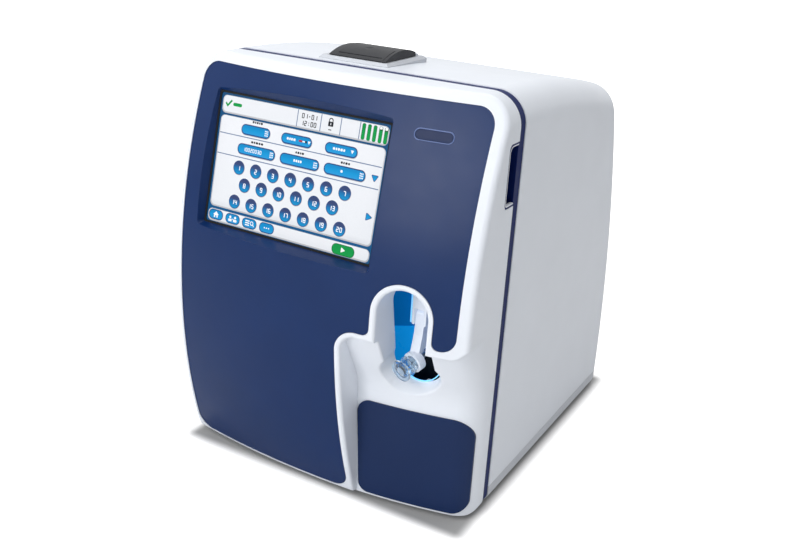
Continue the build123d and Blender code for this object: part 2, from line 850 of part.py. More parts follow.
def make_pack(x, z, width, height, radius=6.0):
    """Removable fluid pack with a grip recess in its face."""
    gap = seat_gap
    front = seam + 4
    back = bulkhead + reagent_depth - sheet - gap
    body = rounded_box(x - width / 2 + gap, x + width / 2 - gap, front, back,
                       z - height / 2 + gap, z + height / 2 - gap, 4)
    front_edges = [edge for edge in body.edges() if edge.center().Y < front + 0.01]
    body = fillet(front_edges, 3)
    grip = rounded_box(x - width / 4, x + width / 4, front - 1, front + 16,
                       z + height / 4 - radius, z + height / 4 + radius, radius - 0.5)
    return body - grip


def make_sensor_module():
    """Heated block that holds the sensor cards."""
    left, right = sensor_x - sensor_width / 2, sensor_x + sensor_width / 2
    low, high = sensor_z - sensor_height / 2, sensor_z + sensor_height / 2
    body = rounded_box(left, right, seam + 12, bulkhead, low, high, 8)
    body = body - rounded_box(left + 10, right - 10, seam + 11, seam + 22, low + 14,
                              high - 14, 4)
    return body


def make_sensor_cards():
    """Two sensor cards side by side in the module's pocket."""
    width = (sensor_width - 26) / 2
    cards = []
    for side in (-1, 1):
        x = sensor_x + side * (width / 2 + 2)
        card = rounded_box(x - width / 2, x + width / 2, seam + 16, seam + 22,
                           sensor_z - sensor_height / 2 + 18, sensor_z + sensor_height / 2 - 18, 3)
        grip = rounded_box(x - width / 4, x + width / 4, seam + 13, seam + 16,
                           sensor_z - 4, sensor_z + 4, 2)
        cards.append(card + grip)
    return Compound(children=[one(card) for card in cards])


def make_sensor_lever():
    """Turning latch that clamps the cards."""
    x = sensor_x
    z = sensor_z + sensor_height / 2 - 7
    hub = rod_y(6, x, seam + 5, seam + 11.7, z)
    arm = rounded_box(x - 4, x + 4, seam + 5, seam + 8, z - 44, z, 3)
    return hub + arm - rod_y(2.5 + hinge_fit, x, seam, seam + 20, z)


def make_lever_pin():
    x = sensor_x
    z = sensor_z + sensor_height / 2 - 7
    return rod_y(2.5, x, seam + 4.6, seam + 12, z)


def make_pump_body():
    """Peristaltic pump head, a cup with a tube channel round its rotor."""
    front = seam + 14
    cup = rod_y(pump_radius, pump_x, front, bulkhead, pump_z)
    base = rounded_box(pump_x - pump_radius, pump_x + pump_radius, bulkhead - 8, bulkhead,
                       pump_z - pump_radius - pump_foot, pump_z + pump_radius, 5)
    nozzles = rounded_box(pump_x - 20, pump_x + 20, front, bulkhead, pump_z - pump_radius - pump_foot,
                          pump_z, 4)
    body = cup + base + nozzles - rod_y(pump_radius - 4, pump_x, front - 1, bulkhead - 4, pump_z)
    bore = rod_y(5.5, pump_x, front, bulkhead + 1, pump_z)
    return body - bore


def make_pump_rotor():
    """Rotor with three rollers between two discs."""
    front = seam + 12
    back = bulkhead - 5
    hub = rod_y(4, pump_x, front, bulkhead + 6, pump_z)
    disc = rod_y(17, pump_x, back - 3, back, pump_z) + rod_y(17, pump_x, front, front + 3, pump_z)
    rotor = hub + disc
    for index in range(3):
        angle = math.radians(90 + 120 * index)
        rotor = rotor + rod_y(4, pump_x + 14 * math.cos(angle), front, back,
                              pump_z + 14 * math.sin(angle))
    return rotor


def make_pump_motor():
    face = bulkhead + sheet
    body = rod_y(18, pump_x, face, face + 46, pump_z)
    return body - rod_y(4.2, pump_x, face - 1, face + 8, pump_z)


def make_fluid_manifold():
    """Clear valve block with three solenoid valves."""
    x0, x1 = pump_x - manifold_half, pump_x + manifold_half
    low = pump_z + pump_radius + pump_foot
    middle = low + manifold_height / 2
    body = rounded_box(x0, x1, bulkhead - 14, bulkhead, low, low + manifold_height, 3)
    for index in range(3):
        x = pump_x + (index - 1) * (manifold_half - 13)
        body = body + rod_y(7, x, bulkhead - 30, bulkhead - 14, middle)
    return body


# chassis, boards and supply


def make_chassis_tray():
    x = half - 18
    front = bulkhead + 15
    back = seam + rear_panel_depth - tray_gap
    plate = block(-x, x, front, back, floor, floor + sheet)
    for side in (-1, 1):
        plate = plate + block(side * x - side * sheet, side * x, front, back, floor, floor + 20)
    return plate


def make_power_supply():
    low = floor + sheet
    body = block(-half + 30, -half + 130, boards_front, boards_back, low, low + 46)
    for index in range(8):
        x = -half + 42 + 11 * index
        body = body - block(x, x + 4, boards_front + 10, boards_back - 10, low + 44.5, low + 47)
    return body


def make_main_board():
    """Main board on four posts, with two chips and a connector row."""
    low = floor + sheet
    x0, x1, y0, y1 = 0.0, half - 30, boards_front, boards_back
    board = block(x0, x1, y0, y1, low + 8, low + 9.6)
    for x in (x0 + 6, x1 - 6):
        for y in (y0 + 6, y1 - 6):
            board = board + rod_z(3, x, y, low, low + 8)
    chips = block(x0 + 30, x0 + 62, y0 + 20, y0 + 52, low + 9.6, low + 13)
    chips = chips + block(x0 + 84, x0 + 104, y0 + 24, y0 + 44, low + 9.6, low + 12)
    return board + chips + block(x0 + 20, x1 - 20, y1 - 14, y1 - 6, low + 9.6, low + 19)


def rear_bay(grow):
    """Opening for the connector bay in the back of the case."""
    x = rear_bay_width / 2 + grow
    return rounded_box(-x, x, seam + body_depth - 60, seam + body_depth + 20,
                       rear_bay_bottom - grow, rear_bay_bottom + rear_bay_height + grow,
                       8 + grow)


def make_rear_panel():
    """Recessed connector tray with a slotted fan grille."""
    face = seam + rear_panel_depth
    gap = -seat_gap
    tray = rear_bay(gap) & case_form & block(-half, half, face - sheet, seam + far, 0,
                                             case_height)
    inner = rear_bay(gap - sheet) & block(-half, half, face, seam + far, 0, case_height)
    tray = tray - inner
    z = fan_z
    for index in range(9):
        offset = (index - 4) * 8.0
        long = 2 * math.sqrt((fan_size / 2 - 3) ** 2 - offset**2)
        slot = Pos(fan_x, z + offset) * SlotOverall(long, 4)
        tray = tray - prism(slot, face - sheet - 1, face + 1)
    wide, tall = inlet_width / 2 + seat_gap, inlet_tall / 2 + seat_gap
    tray = tray - rounded_box(inlet_x - wide, inlet_x + wide, face - 5, face + 5,
                              inlet_z - tall, inlet_z + tall, 1)
    return tray - block(ports_x - 25.3, ports_x + 25.3, face - 5, face + 5, ports_z - 9.3,
                        ports_z + 9.3)




def make_fan_frame():
    back = seam + rear_panel_depth - sheet
    s = fan_size / 2
    frame = rounded_box(fan_x - s, fan_x + s, back - fan_depth, back, fan_z - s, fan_z + s, 3)
    frame = frame - rod_y(s - 2, fan_x, back - fan_depth - 1, back + 1, fan_z)
    strut = block(fan_x - s + 1, fan_x + s - 1, back - fan_depth, back - fan_depth + 3,
                  fan_z - 2.5, fan_z + 2.5)
    upright = block(fan_x - 2.5, fan_x + 2.5, back - fan_depth, back - fan_depth + 3,
                    fan_z - s + 1, fan_z + s - 1)
    hub = rod_y(13, fan_x, back - fan_depth, back - fan_depth + 3, fan_z)
    axle = rod_y(1.5, fan_x, back - fan_depth, back - 4, fan_z)
    return frame + strut + upright + hub + axle


def make_fan_rotor():
    """Hub with seven raked blades."""
    back = seam + rear_panel_depth - sheet
    front = back - fan_depth + 3.5
    end = back - 2.5
    rotor = rod_y(14, fan_x, front, end, fan_z)
    blade = block(-1, 1, -8, 8, 12, fan_size / 2 - 4)
    for index in range(7):
        place = Pos(fan_x, (front + end) / 2, fan_z) * Rot(0, index * 360 / 7, 0) * Rot(0, 0, 42)
        rotor = rotor + place * blade
    return rotor - rod_y(1.5 + hinge_fit, fan_x, front - 1, back - 3.9, fan_z)


def make_power_inlet():
    """Appliance inlet with the well for the power switch beside it."""
    face = seam + rear_panel_depth
    wide, tall = inlet_width / 2, inlet_tall / 2
    body = rounded_box(inlet_x - wide, inlet_x + wide, face - 24, face + 1.5, inlet_z - tall,
                       inlet_z + tall, 1)
    flange = rounded_box(inlet_x - wide - inlet_lip, inlet_x + wide + inlet_lip, face, face + 1.5,
                         inlet_z - tall - inlet_lip + 1, inlet_z + tall + inlet_lip - 1, 2)
    socket = rounded_box(inlet_x - 22, inlet_x + 3, face - 16, face + 3, inlet_z - 9,
                         inlet_z + 9, 2)
    well = block(inlet_x + 7, inlet_x + 21, face - 14, face + 3, inlet_z - 11, inlet_z + 11)
    body = body + flange - socket - well
    for offset in (-6.5, 0, 6.5):
        z = inlet_z + (2 if offset == 0 else -2)
        body = body + block(inlet_x - 10.5 + offset, inlet_x - 8.5 + offset, face - 17,
                            face - 3, z - 2, z + 2)
    return body + rod_x(1.5, inlet_x + 6, inlet_x + 22, face - 5, inlet_z)


def make_power_switch():
    """Rocker that tips about a pin across its well."""
    face = seam + rear_panel_depth
    outline = Plane.YZ * rounded(
        [(face - 9, inlet_z - 5), (face - 9, inlet_z + 5), (face + 1.5, inlet_z + 9),
         (face - 1, inlet_z), (face + 1.5, inlet_z - 9)],
        [2, 2, 1, 8, 1],
    )
    rocker = Pos(inlet_x + 7.5, 0, 0) * extrude(outline, 13)
    rocker = rocker - rod_x(1.5 + hinge_fit, inlet_x + 6, inlet_x + 22, face - 5, inlet_z)
    return rocker


def make_data_ports():
    """Two stacked serial sockets and a network socket in one block."""
    face = seam + rear_panel_depth
    body = block(ports_x - 25, ports_x + 25, face - 20, face + 1, ports_z - 9, ports_z + 9)
    body = body - block(ports_x - 21, ports_x - 5, face - 14, face + 2, ports_z - 7, ports_z + 7)
    for offset in (-4.5, 4.5):
        body = body - block(ports_x + 4, ports_x + 17, face - 12, face + 2,
                            ports_z + offset - 2.6, ports_z + offset + 2.6)
    return body


# ------------------------------------------------------------ printer
bay_left = printer_x - bay_width / 2
bay_right = printer_x + bay_width / 2
bay_front = seam + printer_front + 5.5
bay_back = bay_front + bay_depth + 6
bay_low = plinth_top - 56
lid_left = printer_x - lid_width / 2
lid_right = printer_x + lid_width / 2
lid_front = seam + printer_front + lid_front_gap
lid_back = lid_front + lid_length
lid_low = plinth_top + 0.5
lid_axis_y = lid_back - lid_barrel_radius - 0.4
lid_axis_z = plinth_top + 0.4
roll_y = bay_front + 28
roll_z = plinth_top - 30
platen_radius = 4.0
platen_setback = 5.5          # bay's front wall to the platen
platen_y = bay_front + platen_radius + platen_setback
platen_z = plinth_top - 2.5


def printer_opening(grow):
    """Opening in the top of the case for the printer's collar."""
    return block(bay_left - 5 - grow, bay_right + 5 + grow, bay_front - 3 - grow,
                 bay_back + 3 + grow, case_height - 40, case_height + 20)


def make_printer_plinth():
    """Wedge that levels the printer on the arched top, with a collar and the hinge pin."""
    front = seam + printer_front
    flange = block(lid_left - plinth_left_margin, lid_right + plinth_right_margin, front,
                   front + plinth_length, case_height - 8, plinth_top)
    flange = flange - body_form(-0.1)
    edges = flange.edges().filter_by(lambda edge: edge.center().Z > plinth_top - 0.1)
    flange = chamfer(edges, plinth_bevel)
    collar = printer_opening(-seat_gap) & block(-half, half, front, front + plinth_length,
                                                case_height - 16, plinth_top)
    hollow = block(bay_left, bay_right, bay_front, bay_back, case_height - 30, plinth_top + 1)
    trough = rod_x(lid_barrel_radius + seat_gap, lid_left + lid_ear - seat_gap,
                   lid_right - lid_ear + seat_gap, lid_axis_y, lid_axis_z)
    plinth = flange + collar - hollow - trough
    for x in (lid_left, lid_right - lid_ear + seat_gap):
        end = x + lid_ear - seat_gap
        ear = rod_x(lid_barrel_radius - seat_gap, x, end, lid_axis_y, lid_axis_z)
        foot = block(x, end, lid_axis_y - 2, lid_axis_y + 2, plinth_top - 1, lid_axis_z)
        plinth = plinth + ear + foot
    return plinth + rod_x(lid_pin_radius, lid_left, lid_right, lid_axis_y, lid_axis_z)


def make_printer_bucket():
    """Paper bucket with the fixed spindle for the roll."""
    outer = block(bay_left - sheet, bay_right + sheet, bay_front - sheet, bay_back + sheet,
                  bay_low, case_height - 16)
    inner = block(bay_left, bay_right, bay_front, bay_back, bay_low + sheet, case_height)
    spindle = rod_x(5, bay_left, bay_right, roll_y, roll_z)
    return outer - inner + spindle


def make_print_head():
    """Heated print bar on its bracket, under the platen."""
    return block(bay_left + 2, bay_right - 2, bay_front, platen_y + platen_radius - 2.5,
                 platen_z - 16, platen_z - platen_radius - 0.4)


def make_paper_roll():
    roll = rod_x(roll_radius, printer_x - roll_width / 2, printer_x + roll_width / 2, roll_y,
                 roll_z)
    return roll - rod_x(5 + 0.1, bay_left, bay_right, roll_y, roll_z)


def lid_outline(inset, lower=0.0):
    """Side view of the arched lid, from its front lip to its hinge barrel."""
    front = lid_front + inset
    back = lid_axis_y - inset
    top = plinth_top + lid_height - lower - inset
    lip = lid_low + 0.8
    barrel_top = lid_axis_z + lid_barrel_radius - inset
    return make_face([
        Line((front, lid_low), (front, lip)),
        ThreePointArc((front, lip), (front + (back - front) * 0.56, top), (back, barrel_top)),
        Polyline((back, barrel_top), (back, lid_low), (front, lid_low)),
    ])


def make_printer_lid():
    """Arched lid with a paper slot, a thumb hollow and a barrel that turns on the pin."""
    step_x = lid_left + lid_step_width
    inner_left, inner_right = lid_left + lid_wall, lid_right - lid_wall
    lid = side_slab(lid_outline(0), step_x, lid_right)
    lid = lid + side_slab(lid_outline(0, lid_step), lid_left, step_x)
    lid = lid - side_slab(lid_outline(lid_wall, lid_step), inner_left, inner_right)
    paper_slot = block(inner_left + 6, inner_right - 5, lid_front + 4.2, lid_front + 5.8,
                       lid_low - 1, plinth_top + lid_height)
    groove = side_slab(lid_outline(0), inner_right - 2, inner_right - 1)
    groove = groove - side_slab(lid_outline(0.8), inner_right - 2, inner_right - 1)
    groove = groove & block(lid_left, lid_right, lid_front + 1, lid_front + 25, plinth_top,
                            case_height + 40)
    thumb = Pos(printer_x, lid_front + 21, plinth_top + lid_height + 16.4) * Sphere(18)
    lid = lid - paper_slot - groove - thumb
    for x0, x1 in ((lid_left - 1, lid_left + lid_ear), (lid_right - lid_ear, lid_right + 1)):
        lid = lid - block(x0, x1, lid_axis_y - lid_barrel_radius - 0.5, lid_back + 1, plinth_top,
                          lid_axis_z + 6)
    lid = lid + rod_x(lid_barrel_radius, lid_left + lid_ear, lid_right - lid_ear, lid_axis_y,
                      lid_axis_z)
    for x in (bay_left + 0.5, bay_right - 2.5):
        ear = block(x, x + 2, platen_y - 3, platen_y + 3, plinth_top + 0.5, plinth_top + lid_height)
        ear = ear & side_slab(lid_outline(lid_wall / 2, lid_step), x, x + 2)
        ear = ear + block(x, x + 2, platen_y - 3, platen_y + 3, platen_z - 3, plinth_top + 1)
        lid = lid + ear
    lid = lid - rod_x(lid_pin_radius + hinge_fit, lid_left, lid_right, lid_axis_y, lid_axis_z)
    return lid - rod_x(1.5 + hinge_fit, bay_left, bay_right, platen_y, platen_z)


def make_platen_roller():
    roller = rod_x(platen_radius, bay_left + 3, bay_right - 3, platen_y, platen_z)
    return roller + rod_x(1.5, bay_left + 0.5, bay_right - 0.5, platen_y, platen_z)


# ------------------------------------------------------------ hinge and catch
def make_hinge_arm(height):
    """Gooseneck arm from the bulkhead round the door's edge to the hinge pin."""
    low = height - hinge_arm_height / 2
    path = FilletPolyline(
        (hinge_x, hinge_y), (hinge_x + 9, hinge_y - 10), (hinge_x + 16, hinge_y - 10),
        (hinge_x + 16, bulkhead - sheet), radius=4,
    )
    neck = slab(trace(path, hinge_arm_width), low, low + hinge_arm_height)
    eye = rod_z(hinge_eye_radius, hinge_x, hinge_y, low, low + hinge_arm_height)
    flange = block(hinge_x + 13, hinge_x + 40, bulkhead - sheet, bulkhead, height - 11,
                   height + 11)
    return neck + eye + flange - rod_z(hinge_pin_radius, hinge_x, hinge_y, low - 1,
                                       low + hinge_arm_height + 1)


def make_hinge_pins():
    pins = []
    for height in hinge_heights:
        reach = hinge_arm_height / 2 + hinge_lug_height
        pins.append(one(rod_z(hinge_pin_radius, hinge_x, hinge_y, height - reach,
                              height + reach)))
    return Compound(children=pins)


catch_x = half - 21.5
catch_heights = (sampler_low + 22, sampler_high + 46)


def make_catch_magnets():
    """Magnet posts on the bulkhead that hold the door shut."""
    posts = []
    for z in catch_heights:
        post = block(catch_x - 4.5, catch_x + 4.5, door_back + seat_gap + 1.5, bulkhead,
                     z - 11, z + 11)
        posts.append(one(post))
    return Compound(children=posts)


def make_catch_plates():
    """Steel plates on the door's liner, facing the magnets."""
    plates = []
    for z in catch_heights:
        plate = rounded_box(catch_x - 5.5, catch_x + 5.5, door_back, door_back + 1.5, z - 14,
                            z + 14, 2)
        plates.append(one(plate))
    return Compound(children=plates)


def make_feet():
    feet = {}
    for side, x in (("left", -half + 34), ("right", half - 34)):
        for end, y in (("front", case_front + 28), ("rear", seam + body_depth - 60)):
            feet[f"foot_{end}_{side}"] = make_foot(x, y)
    return feet


# ------------------------------------------------------------ write the pieces
pieces = {
    "case_shell": make_case_shell(),
    "base_pan": make_base_pan(),
    "trim_band": make_trim_band(),
    "front_bulkhead": make_bulkhead(),
    "chassis_tray": make_chassis_tray(),
    "reagent_bay": make_bay(reagent_x, reagent_z, reagent_width, reagent_height),
    "reagent_pack": make_pack(reagent_x, reagent_z, reagent_width, reagent_height),
    "control_bay": make_bay(control_x, control_z, control_width, control_height),
    "control_pack": make_pack(control_x, control_z, control_width, control_height),
    "sensor_module": make_sensor_module(),
    "sensor_cards": make_sensor_cards(),
    "sensor_lever": make_sensor_lever(),
    "lever_pin": make_lever_pin(),
    "pump_head": make_pump_body(),
    "pump_rotor": make_pump_rotor(),
    "pump_motor": make_pump_motor(),
    "fluid_manifold": make_fluid_manifold(),
    "sampler_tray": make_sampler_tray(),
    "sampler_housing": make_sampler_housing(),
    "sampler_arm": make_sampler_arm(),
    "sample_port": make_sample_port(),
    "sample_probe": make_sample_probe(),
    "power_supply": make_power_supply(),
    "main_board": make_main_board(),
    "rear_panel": make_rear_panel(),
    "fan_frame": make_fan_frame(),
    "fan_rotor": make_fan_rotor(),
    "power_inlet": make_power_inlet(),
    "power_switch": make_power_switch(),
    "data_ports": make_data_ports(),
    "printer_plinth": make_printer_plinth(),
    "printer_bucket": make_printer_bucket(),
    "print_head": make_print_head(),
    "paper_roll": make_paper_roll(),
    "printer_lid": make_printer_lid(),
    "platen_roller": make_platen_roller(),
    "hinge_arm_lower": make_hinge_arm(hinge_heights[0]),
    "hinge_arm_upper": make_hinge_arm(hinge_heights[1]),
    "hinge_pins": make_hinge_pins(),
    "catch_magnets": make_catch_magnets(),
    "door_bezel": make_door_bezel(),
    "front_panel": make_front_panel(),
    "lower_panel": make_lower_panel(),
    "display_gasket": make_display_gasket(),
    "touch_screen": make_touch_screen(),
    "lcd_module": make_lcd_module(),
    "display_bracket": make_display_bracket(),
    "display_board": make_display_board(),
    "door_liner": make_door_liner(),
    "finger_pull": make_finger_pull(),
    "catch_plates": make_catch_plates(),
    "drip_lip": make_drip_lip(),
}
pieces.update(make_feet())

os.makedirs("parts", exist_ok=True)
for name, shape in pieces.items():
    export_step(one(shape), f"parts/{name}.step")
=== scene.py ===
import json
import math
import bmesh
import bpy
from mathutils import Matrix, Vector


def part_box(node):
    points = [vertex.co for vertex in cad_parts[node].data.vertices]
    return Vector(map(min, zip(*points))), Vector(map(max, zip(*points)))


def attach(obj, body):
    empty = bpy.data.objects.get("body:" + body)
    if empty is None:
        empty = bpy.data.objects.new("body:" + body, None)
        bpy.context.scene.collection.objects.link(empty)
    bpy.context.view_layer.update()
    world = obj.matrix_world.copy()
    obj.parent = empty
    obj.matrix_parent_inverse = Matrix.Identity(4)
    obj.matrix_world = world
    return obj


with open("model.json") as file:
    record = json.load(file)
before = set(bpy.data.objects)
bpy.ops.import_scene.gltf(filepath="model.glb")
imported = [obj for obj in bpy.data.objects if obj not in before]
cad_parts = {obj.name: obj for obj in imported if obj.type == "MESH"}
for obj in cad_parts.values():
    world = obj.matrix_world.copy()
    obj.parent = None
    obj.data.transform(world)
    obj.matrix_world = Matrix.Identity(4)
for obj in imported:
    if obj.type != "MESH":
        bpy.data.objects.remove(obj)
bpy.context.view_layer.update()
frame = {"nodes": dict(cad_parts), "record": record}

nodes = frame["nodes"]
MM = 0.001


# ------------------------------------------------------------ node helpers
def srgb(text):
    """A colour written as a web hex value, in linear light."""
    values = [int(text[i:i + 2], 16) / 255 for i in (0, 2, 4)]
    return tuple(v / 12.92 if v <= 0.04045 else ((v + 0.055) / 1.055) ** 2.4 for v in values)


def feed(tree, node, values):
    """Set a node's inputs, by name or place, to plain values, or link outputs to them."""
    for key, value in values.items():
        if isinstance(value, bpy.types.NodeSocket):
            tree.links.new(value, node.inputs[key])
        else:
            node.inputs[key].default_value = value


def add_node(tree, kind, values=None, **settings):
    """A new shader node with its settings made first, then its inputs fed."""
    node = tree.nodes.new("ShaderNode" + kind)
    for key, value in settings.items():
        setattr(node, key, value)
    feed(tree, node, values or {})
    return node


def new_material(name):
    """A material, its node tree and its shader."""
    mat = bpy.data.materials.new(name)
    mat.use_nodes = True
    return mat, mat.node_tree, mat.node_tree.nodes["Principled BSDF"]


# ------------------------------------------------------------ materials
NOISE_LOW, NOISE_HIGH = 0.3, 0.7       # the part of a noise's range that is spread out
GRAIN_DEPTH = 0.0004                   # metres
EDGE_SOFTENING = 0.0006                # metres
UNEVEN_SCALE = 3.1                     # of the mottle's scale


def surface(name, colour, rough, metallic=0.0, specular=0.5, coat=0.0, coat_rough=0.1,
            grain=900.0, bump=0.05, mottle=0.03, mottle_scale=18.0, rough_vary=0.04,
            stretch=(1, 1, 1), transmission=0.0, ior=1.45, glow=None, glow_strength=0.0):
    """A moulded, painted or metal surface: faint cloudy colour, uneven gloss and a fine grain."""
    mat, tree, bsdf = new_material(name)
    where = add_node(tree, "TexCoord")
    scale = add_node(tree, "Mapping", {"Scale": stretch, "Vector": where.outputs["Object"]})

    def noise(size, detail):
        return add_node(tree, "TexNoise", {"Scale": size, "Detail": detail,
                                           "Vector": scale.outputs["Vector"]}).outputs["Fac"]

    linear = srgb(colour)
    ramp = add_node(tree, "ValToRGB", {"Fac": noise(mottle_scale, 3.0)})
    low, high = ramp.color_ramp.elements
    low.position, high.position = NOISE_LOW, NOISE_HIGH
    low.color = tuple(max(c * (1 - mottle), 0) for c in linear) + (1,)
    high.color = tuple(min(c * (1 + mottle), 1) for c in linear) + (1,)
    spread = add_node(tree, "MapRange", {
        "From Min": NOISE_LOW, "From Max": NOISE_HIGH,
        "To Min": max(rough - rough_vary, 0.02), "To Max": min(rough + rough_vary, 1.0),
        "Value": noise(mottle_scale * UNEVEN_SCALE, 5.0)})
    rounded = add_node(tree, "Bevel", {"Radius": EDGE_SOFTENING}, samples=6)
    raised = add_node(tree, "Bump", {
        "Strength": bump, "Distance": GRAIN_DEPTH, "Height": noise(grain, 2.0),
        "Normal": rounded.outputs["Normal"]})
    feed(tree, bsdf, {
        "Base Color": ramp.outputs["Color"], "Roughness": spread.outputs["Result"],
        "Normal": raised.outputs["Normal"], "Metallic": metallic,
        "Specular IOR Level": specular, "Coat Weight": coat, "Coat Roughness": coat_rough,
        "Transmission Weight": transmission, "IOR": ior})
    if glow:
        feed(tree, bsdf, {"Emission Color": srgb(glow) + (1,),
                          "Emission Strength": glow_strength})
    return mat


looks = {
    "white_cover": surface("white_cover", "E8EDF5", 0.36, specular=0.4, bump=0.06,
                           mottle=0.012),
    "grey_cover": surface("grey_cover", "CBCFD6", 0.48, specular=0.35, bump=0.10, mottle=0.02),
    "navy_panel": surface("navy_panel", "0A2A5B", 0.33, specular=0.28, bump=0.05, mottle=0.05,
                          rough_vary=0.03),
    "blue_band": surface("band_blue", "0C1E58", 0.45, specular=0.12, bump=0.05, mottle=0.04),
    "charcoal_cover": surface("charcoal_cover", "222429", 0.5, specular=0.4, bump=0.16,
                              grain=1500, mottle=0.06),
    "black_plastic": surface("black_plastic", "141518", 0.5, specular=0.4, bump=0.12,
                             mottle=0.08),
    "white_plastic": surface("white_plastic", "E6E9EE", 0.42, specular=0.4, bump=0.05,
                             mottle=0.02),
    # The tray's blue carries a painted glow: emission that brightens it inside the recess.
    "blue_plastic": surface("tray_blue_painted_glow", "0A6CB4", 0.3, specular=0.4, bump=0.03, mottle=0.06,
                            glow="0068AE", glow_strength=0.45),
    "clear_plastic": surface("clear_plastic", "E4F2FC", 0.06, specular=0.5, transmission=1.0,
                             ior=1.49, bump=0.02, mottle=0.01, rough_vary=0.03),
    "rubber_black": surface("rubber_black", "1A1B1D", 0.75, specular=0.25, bump=0.25,
                            grain=1300, mottle=0.12),
    "sheet_steel": surface("sheet_steel", "A9ACB0", 0.38, metallic=1.0, bump=0.08, grain=60,
                           stretch=(1, 1, 22), mottle=0.05, rough_vary=0.08),
    "aluminium": surface("aluminium", "BFC2C6", 0.33, metallic=1.0, bump=0.06, grain=90,
                         stretch=(14, 1, 1), mottle=0.04, rough_vary=0.07),
    "coated_steel": surface("coated_steel", "8E9299", 0.55, specular=0.4, bump=0.22,
                            grain=2200, mottle=0.03),
    "bright_steel": surface("bright_steel", "D8DADD", 0.16, metallic=1.0, bump=0.02,
                            mottle=0.03),
    "board_green": surface("board_green", "17603A", 0.42, specular=0.5, bump=0.1, grain=700,
                           mottle=0.12, mottle_scale=60),
    "paper": surface("paper", "F1EFE8", 0.85, specular=0.15, bump=0.12, grain=1800,
                     mottle=0.02),
    "pack_plastic": surface("pack_plastic", "D9DEE6", 0.4, specular=0.45, bump=0.06,
                            mottle=0.02),
    "screen_glass": surface("screen_glass", "0B2A44", 0.12, specular=0.5, coat=0.6, bump=0.0,
                            coat_rough=0.05, mottle=0.05, rough_vary=0.02),
}
for row in frame["record"]["subparts"]:
    shown = nodes[row["node"]]
    shown.data.materials.clear()
    shown.data.materials.append(looks[row["material_slot"]])

# A second, shaded copy of the panel's navy for the lower panel: its tone is painted shade, for a
# face turned slightly down.
nodes["lower_panel"].data.materials[0] = surface(
    "navy_lower_panel_painted_shade", "142A54", 0.36, specular=0.25, bump=0.05, mottle=0.04, rough_vary=0.03)
# A white with a painted glow: emission that brightens the housing and arm where they stand in the
# recess's shade.
white_painted_glow = surface("white_painted_glow", "E9EEF7", 0.4, specular=0.4, bump=0.05, mottle=0.02,
                    glow="D5E3F5", glow_strength=0.15)
for name in ("sampler_housing", "sampler_arm"):
    nodes[name].data.materials[0] = white_painted_glow


# ------------------------------------------------------------ the part's own places, in mm
seam_y = -135.4              # where the door meets the case
door_depth = 92.0
plan_radius = 970.0          # the door's front seen from above
profile_radius = 610.0       # the door's front seen from the side
belly_height = 195.0         # where the front stands out most
panel_drop = 0.8             # panel's face behind the door's front
arch_x = 107.0
arch_foot = 174.0
screen_width = 204.6
screen_height = 134.0
screen_x = -39.4             # the screen's centre
screen_ahead = 56.5          # of the seam
screen_z = 338.1
screen_turn = -1.5           # degrees
screen_tilt = 11.9           # degrees
glass_drop = 0.8             # glass face behind the screen's plane


def bulge(x, z, back=0.0):
    """Depth of the door's bulged front, or of a skin behind it."""
    drop = profile_radius - math.sqrt(profile_radius**2 - (z - belly_height) ** 2)
    radius = plan_radius - drop - back
    return seam_y - door_depth + plan_radius - math.sqrt(radius**2 - x**2)


def screen_frame():
    """From the screen's own axes, in mm, to the part's frame, in metres."""
    turn = math.radians(screen_turn)
    tilt = math.radians(screen_tilt)
    right = Vector((math.cos(turn), math.sin(turn), 0))
    out = Vector((math.sin(turn) * math.cos(tilt), -math.cos(turn) * math.cos(tilt),
                  math.sin(tilt)))
    up = out.cross(right)
    turned = Matrix((right, up, out)).transposed().to_4x4()
    place = Vector((screen_x, seam_y - screen_ahead, screen_z)) - out * glass_drop
    return Matrix.Scale(MM, 4) @ Matrix.Translation(place) @ turned


# ------------------------------------------------------------ mesh helpers
SHARP_ANGLE = math.radians(40)
MOST_OF_SIDE = 0.499         # a rounding's longest reach along a side


def to_piece(name, bm, body, materials, smooth=True):
    """A finished mesh object that rides on a body."""
    bmesh.ops.recalc_face_normals(bm, faces=bm.faces)
    mesh = bpy.data.meshes.new(name)
    bm.to_mesh(mesh)
    bm.free()
    piece = bpy.data.objects.new(name, mesh)
    bpy.context.scene.collection.objects.link(piece)
    for mat in materials:
        mesh.materials.append(mat)
    if smooth:
        for face in mesh.polygons:
            face.use_smooth = True
        mesh.set_sharp_from_angle(angle=SHARP_ANGLE)
    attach(piece, body)


def box_corners(left, right, low, high):
    """A rectangle's corners, anticlockwise from its lower left."""
    return [(left, low), (right, low), (right, high), (left, high)]


def round_outline(points, radii, steps=6):
    """A closed outline with rounded corners: one radius for all, or a list with one for each."""
    count = len(points)
    if not isinstance(radii, list):
        radii = [radii] * count
    out = []
    for i in range(count):
        here = Vector(points[i])
        if radii[i] <= 0:
            out.append(here)
            continue
        before = Vector(points[i - 1]) - here
        after = Vector(points[(i + 1) % count]) - here
        half_angle = before.angle(after) / 2
        reach = min(radii[i] / math.tan(half_angle), before.length * MOST_OF_SIDE,
                    after.length * MOST_OF_SIDE)
        radius = reach * math.tan(half_angle)
        centre = here + (before.normalized() + after.normalized()).normalized() * (
            radius / math.sin(half_angle))
        first = here + before.normalized() * reach - centre
        last = here + after.normalized() * reach - centre
        sweep = math.atan2(first.x * last.y - first.y * last.x, first.dot(last))
        for k in range(steps + 1):
            part = sweep * k / steps
            out.append(centre + Vector((
                first.x * math.cos(part) - first.y * math.sin(part),
                first.x * math.sin(part) + first.y * math.cos(part))))
    return out


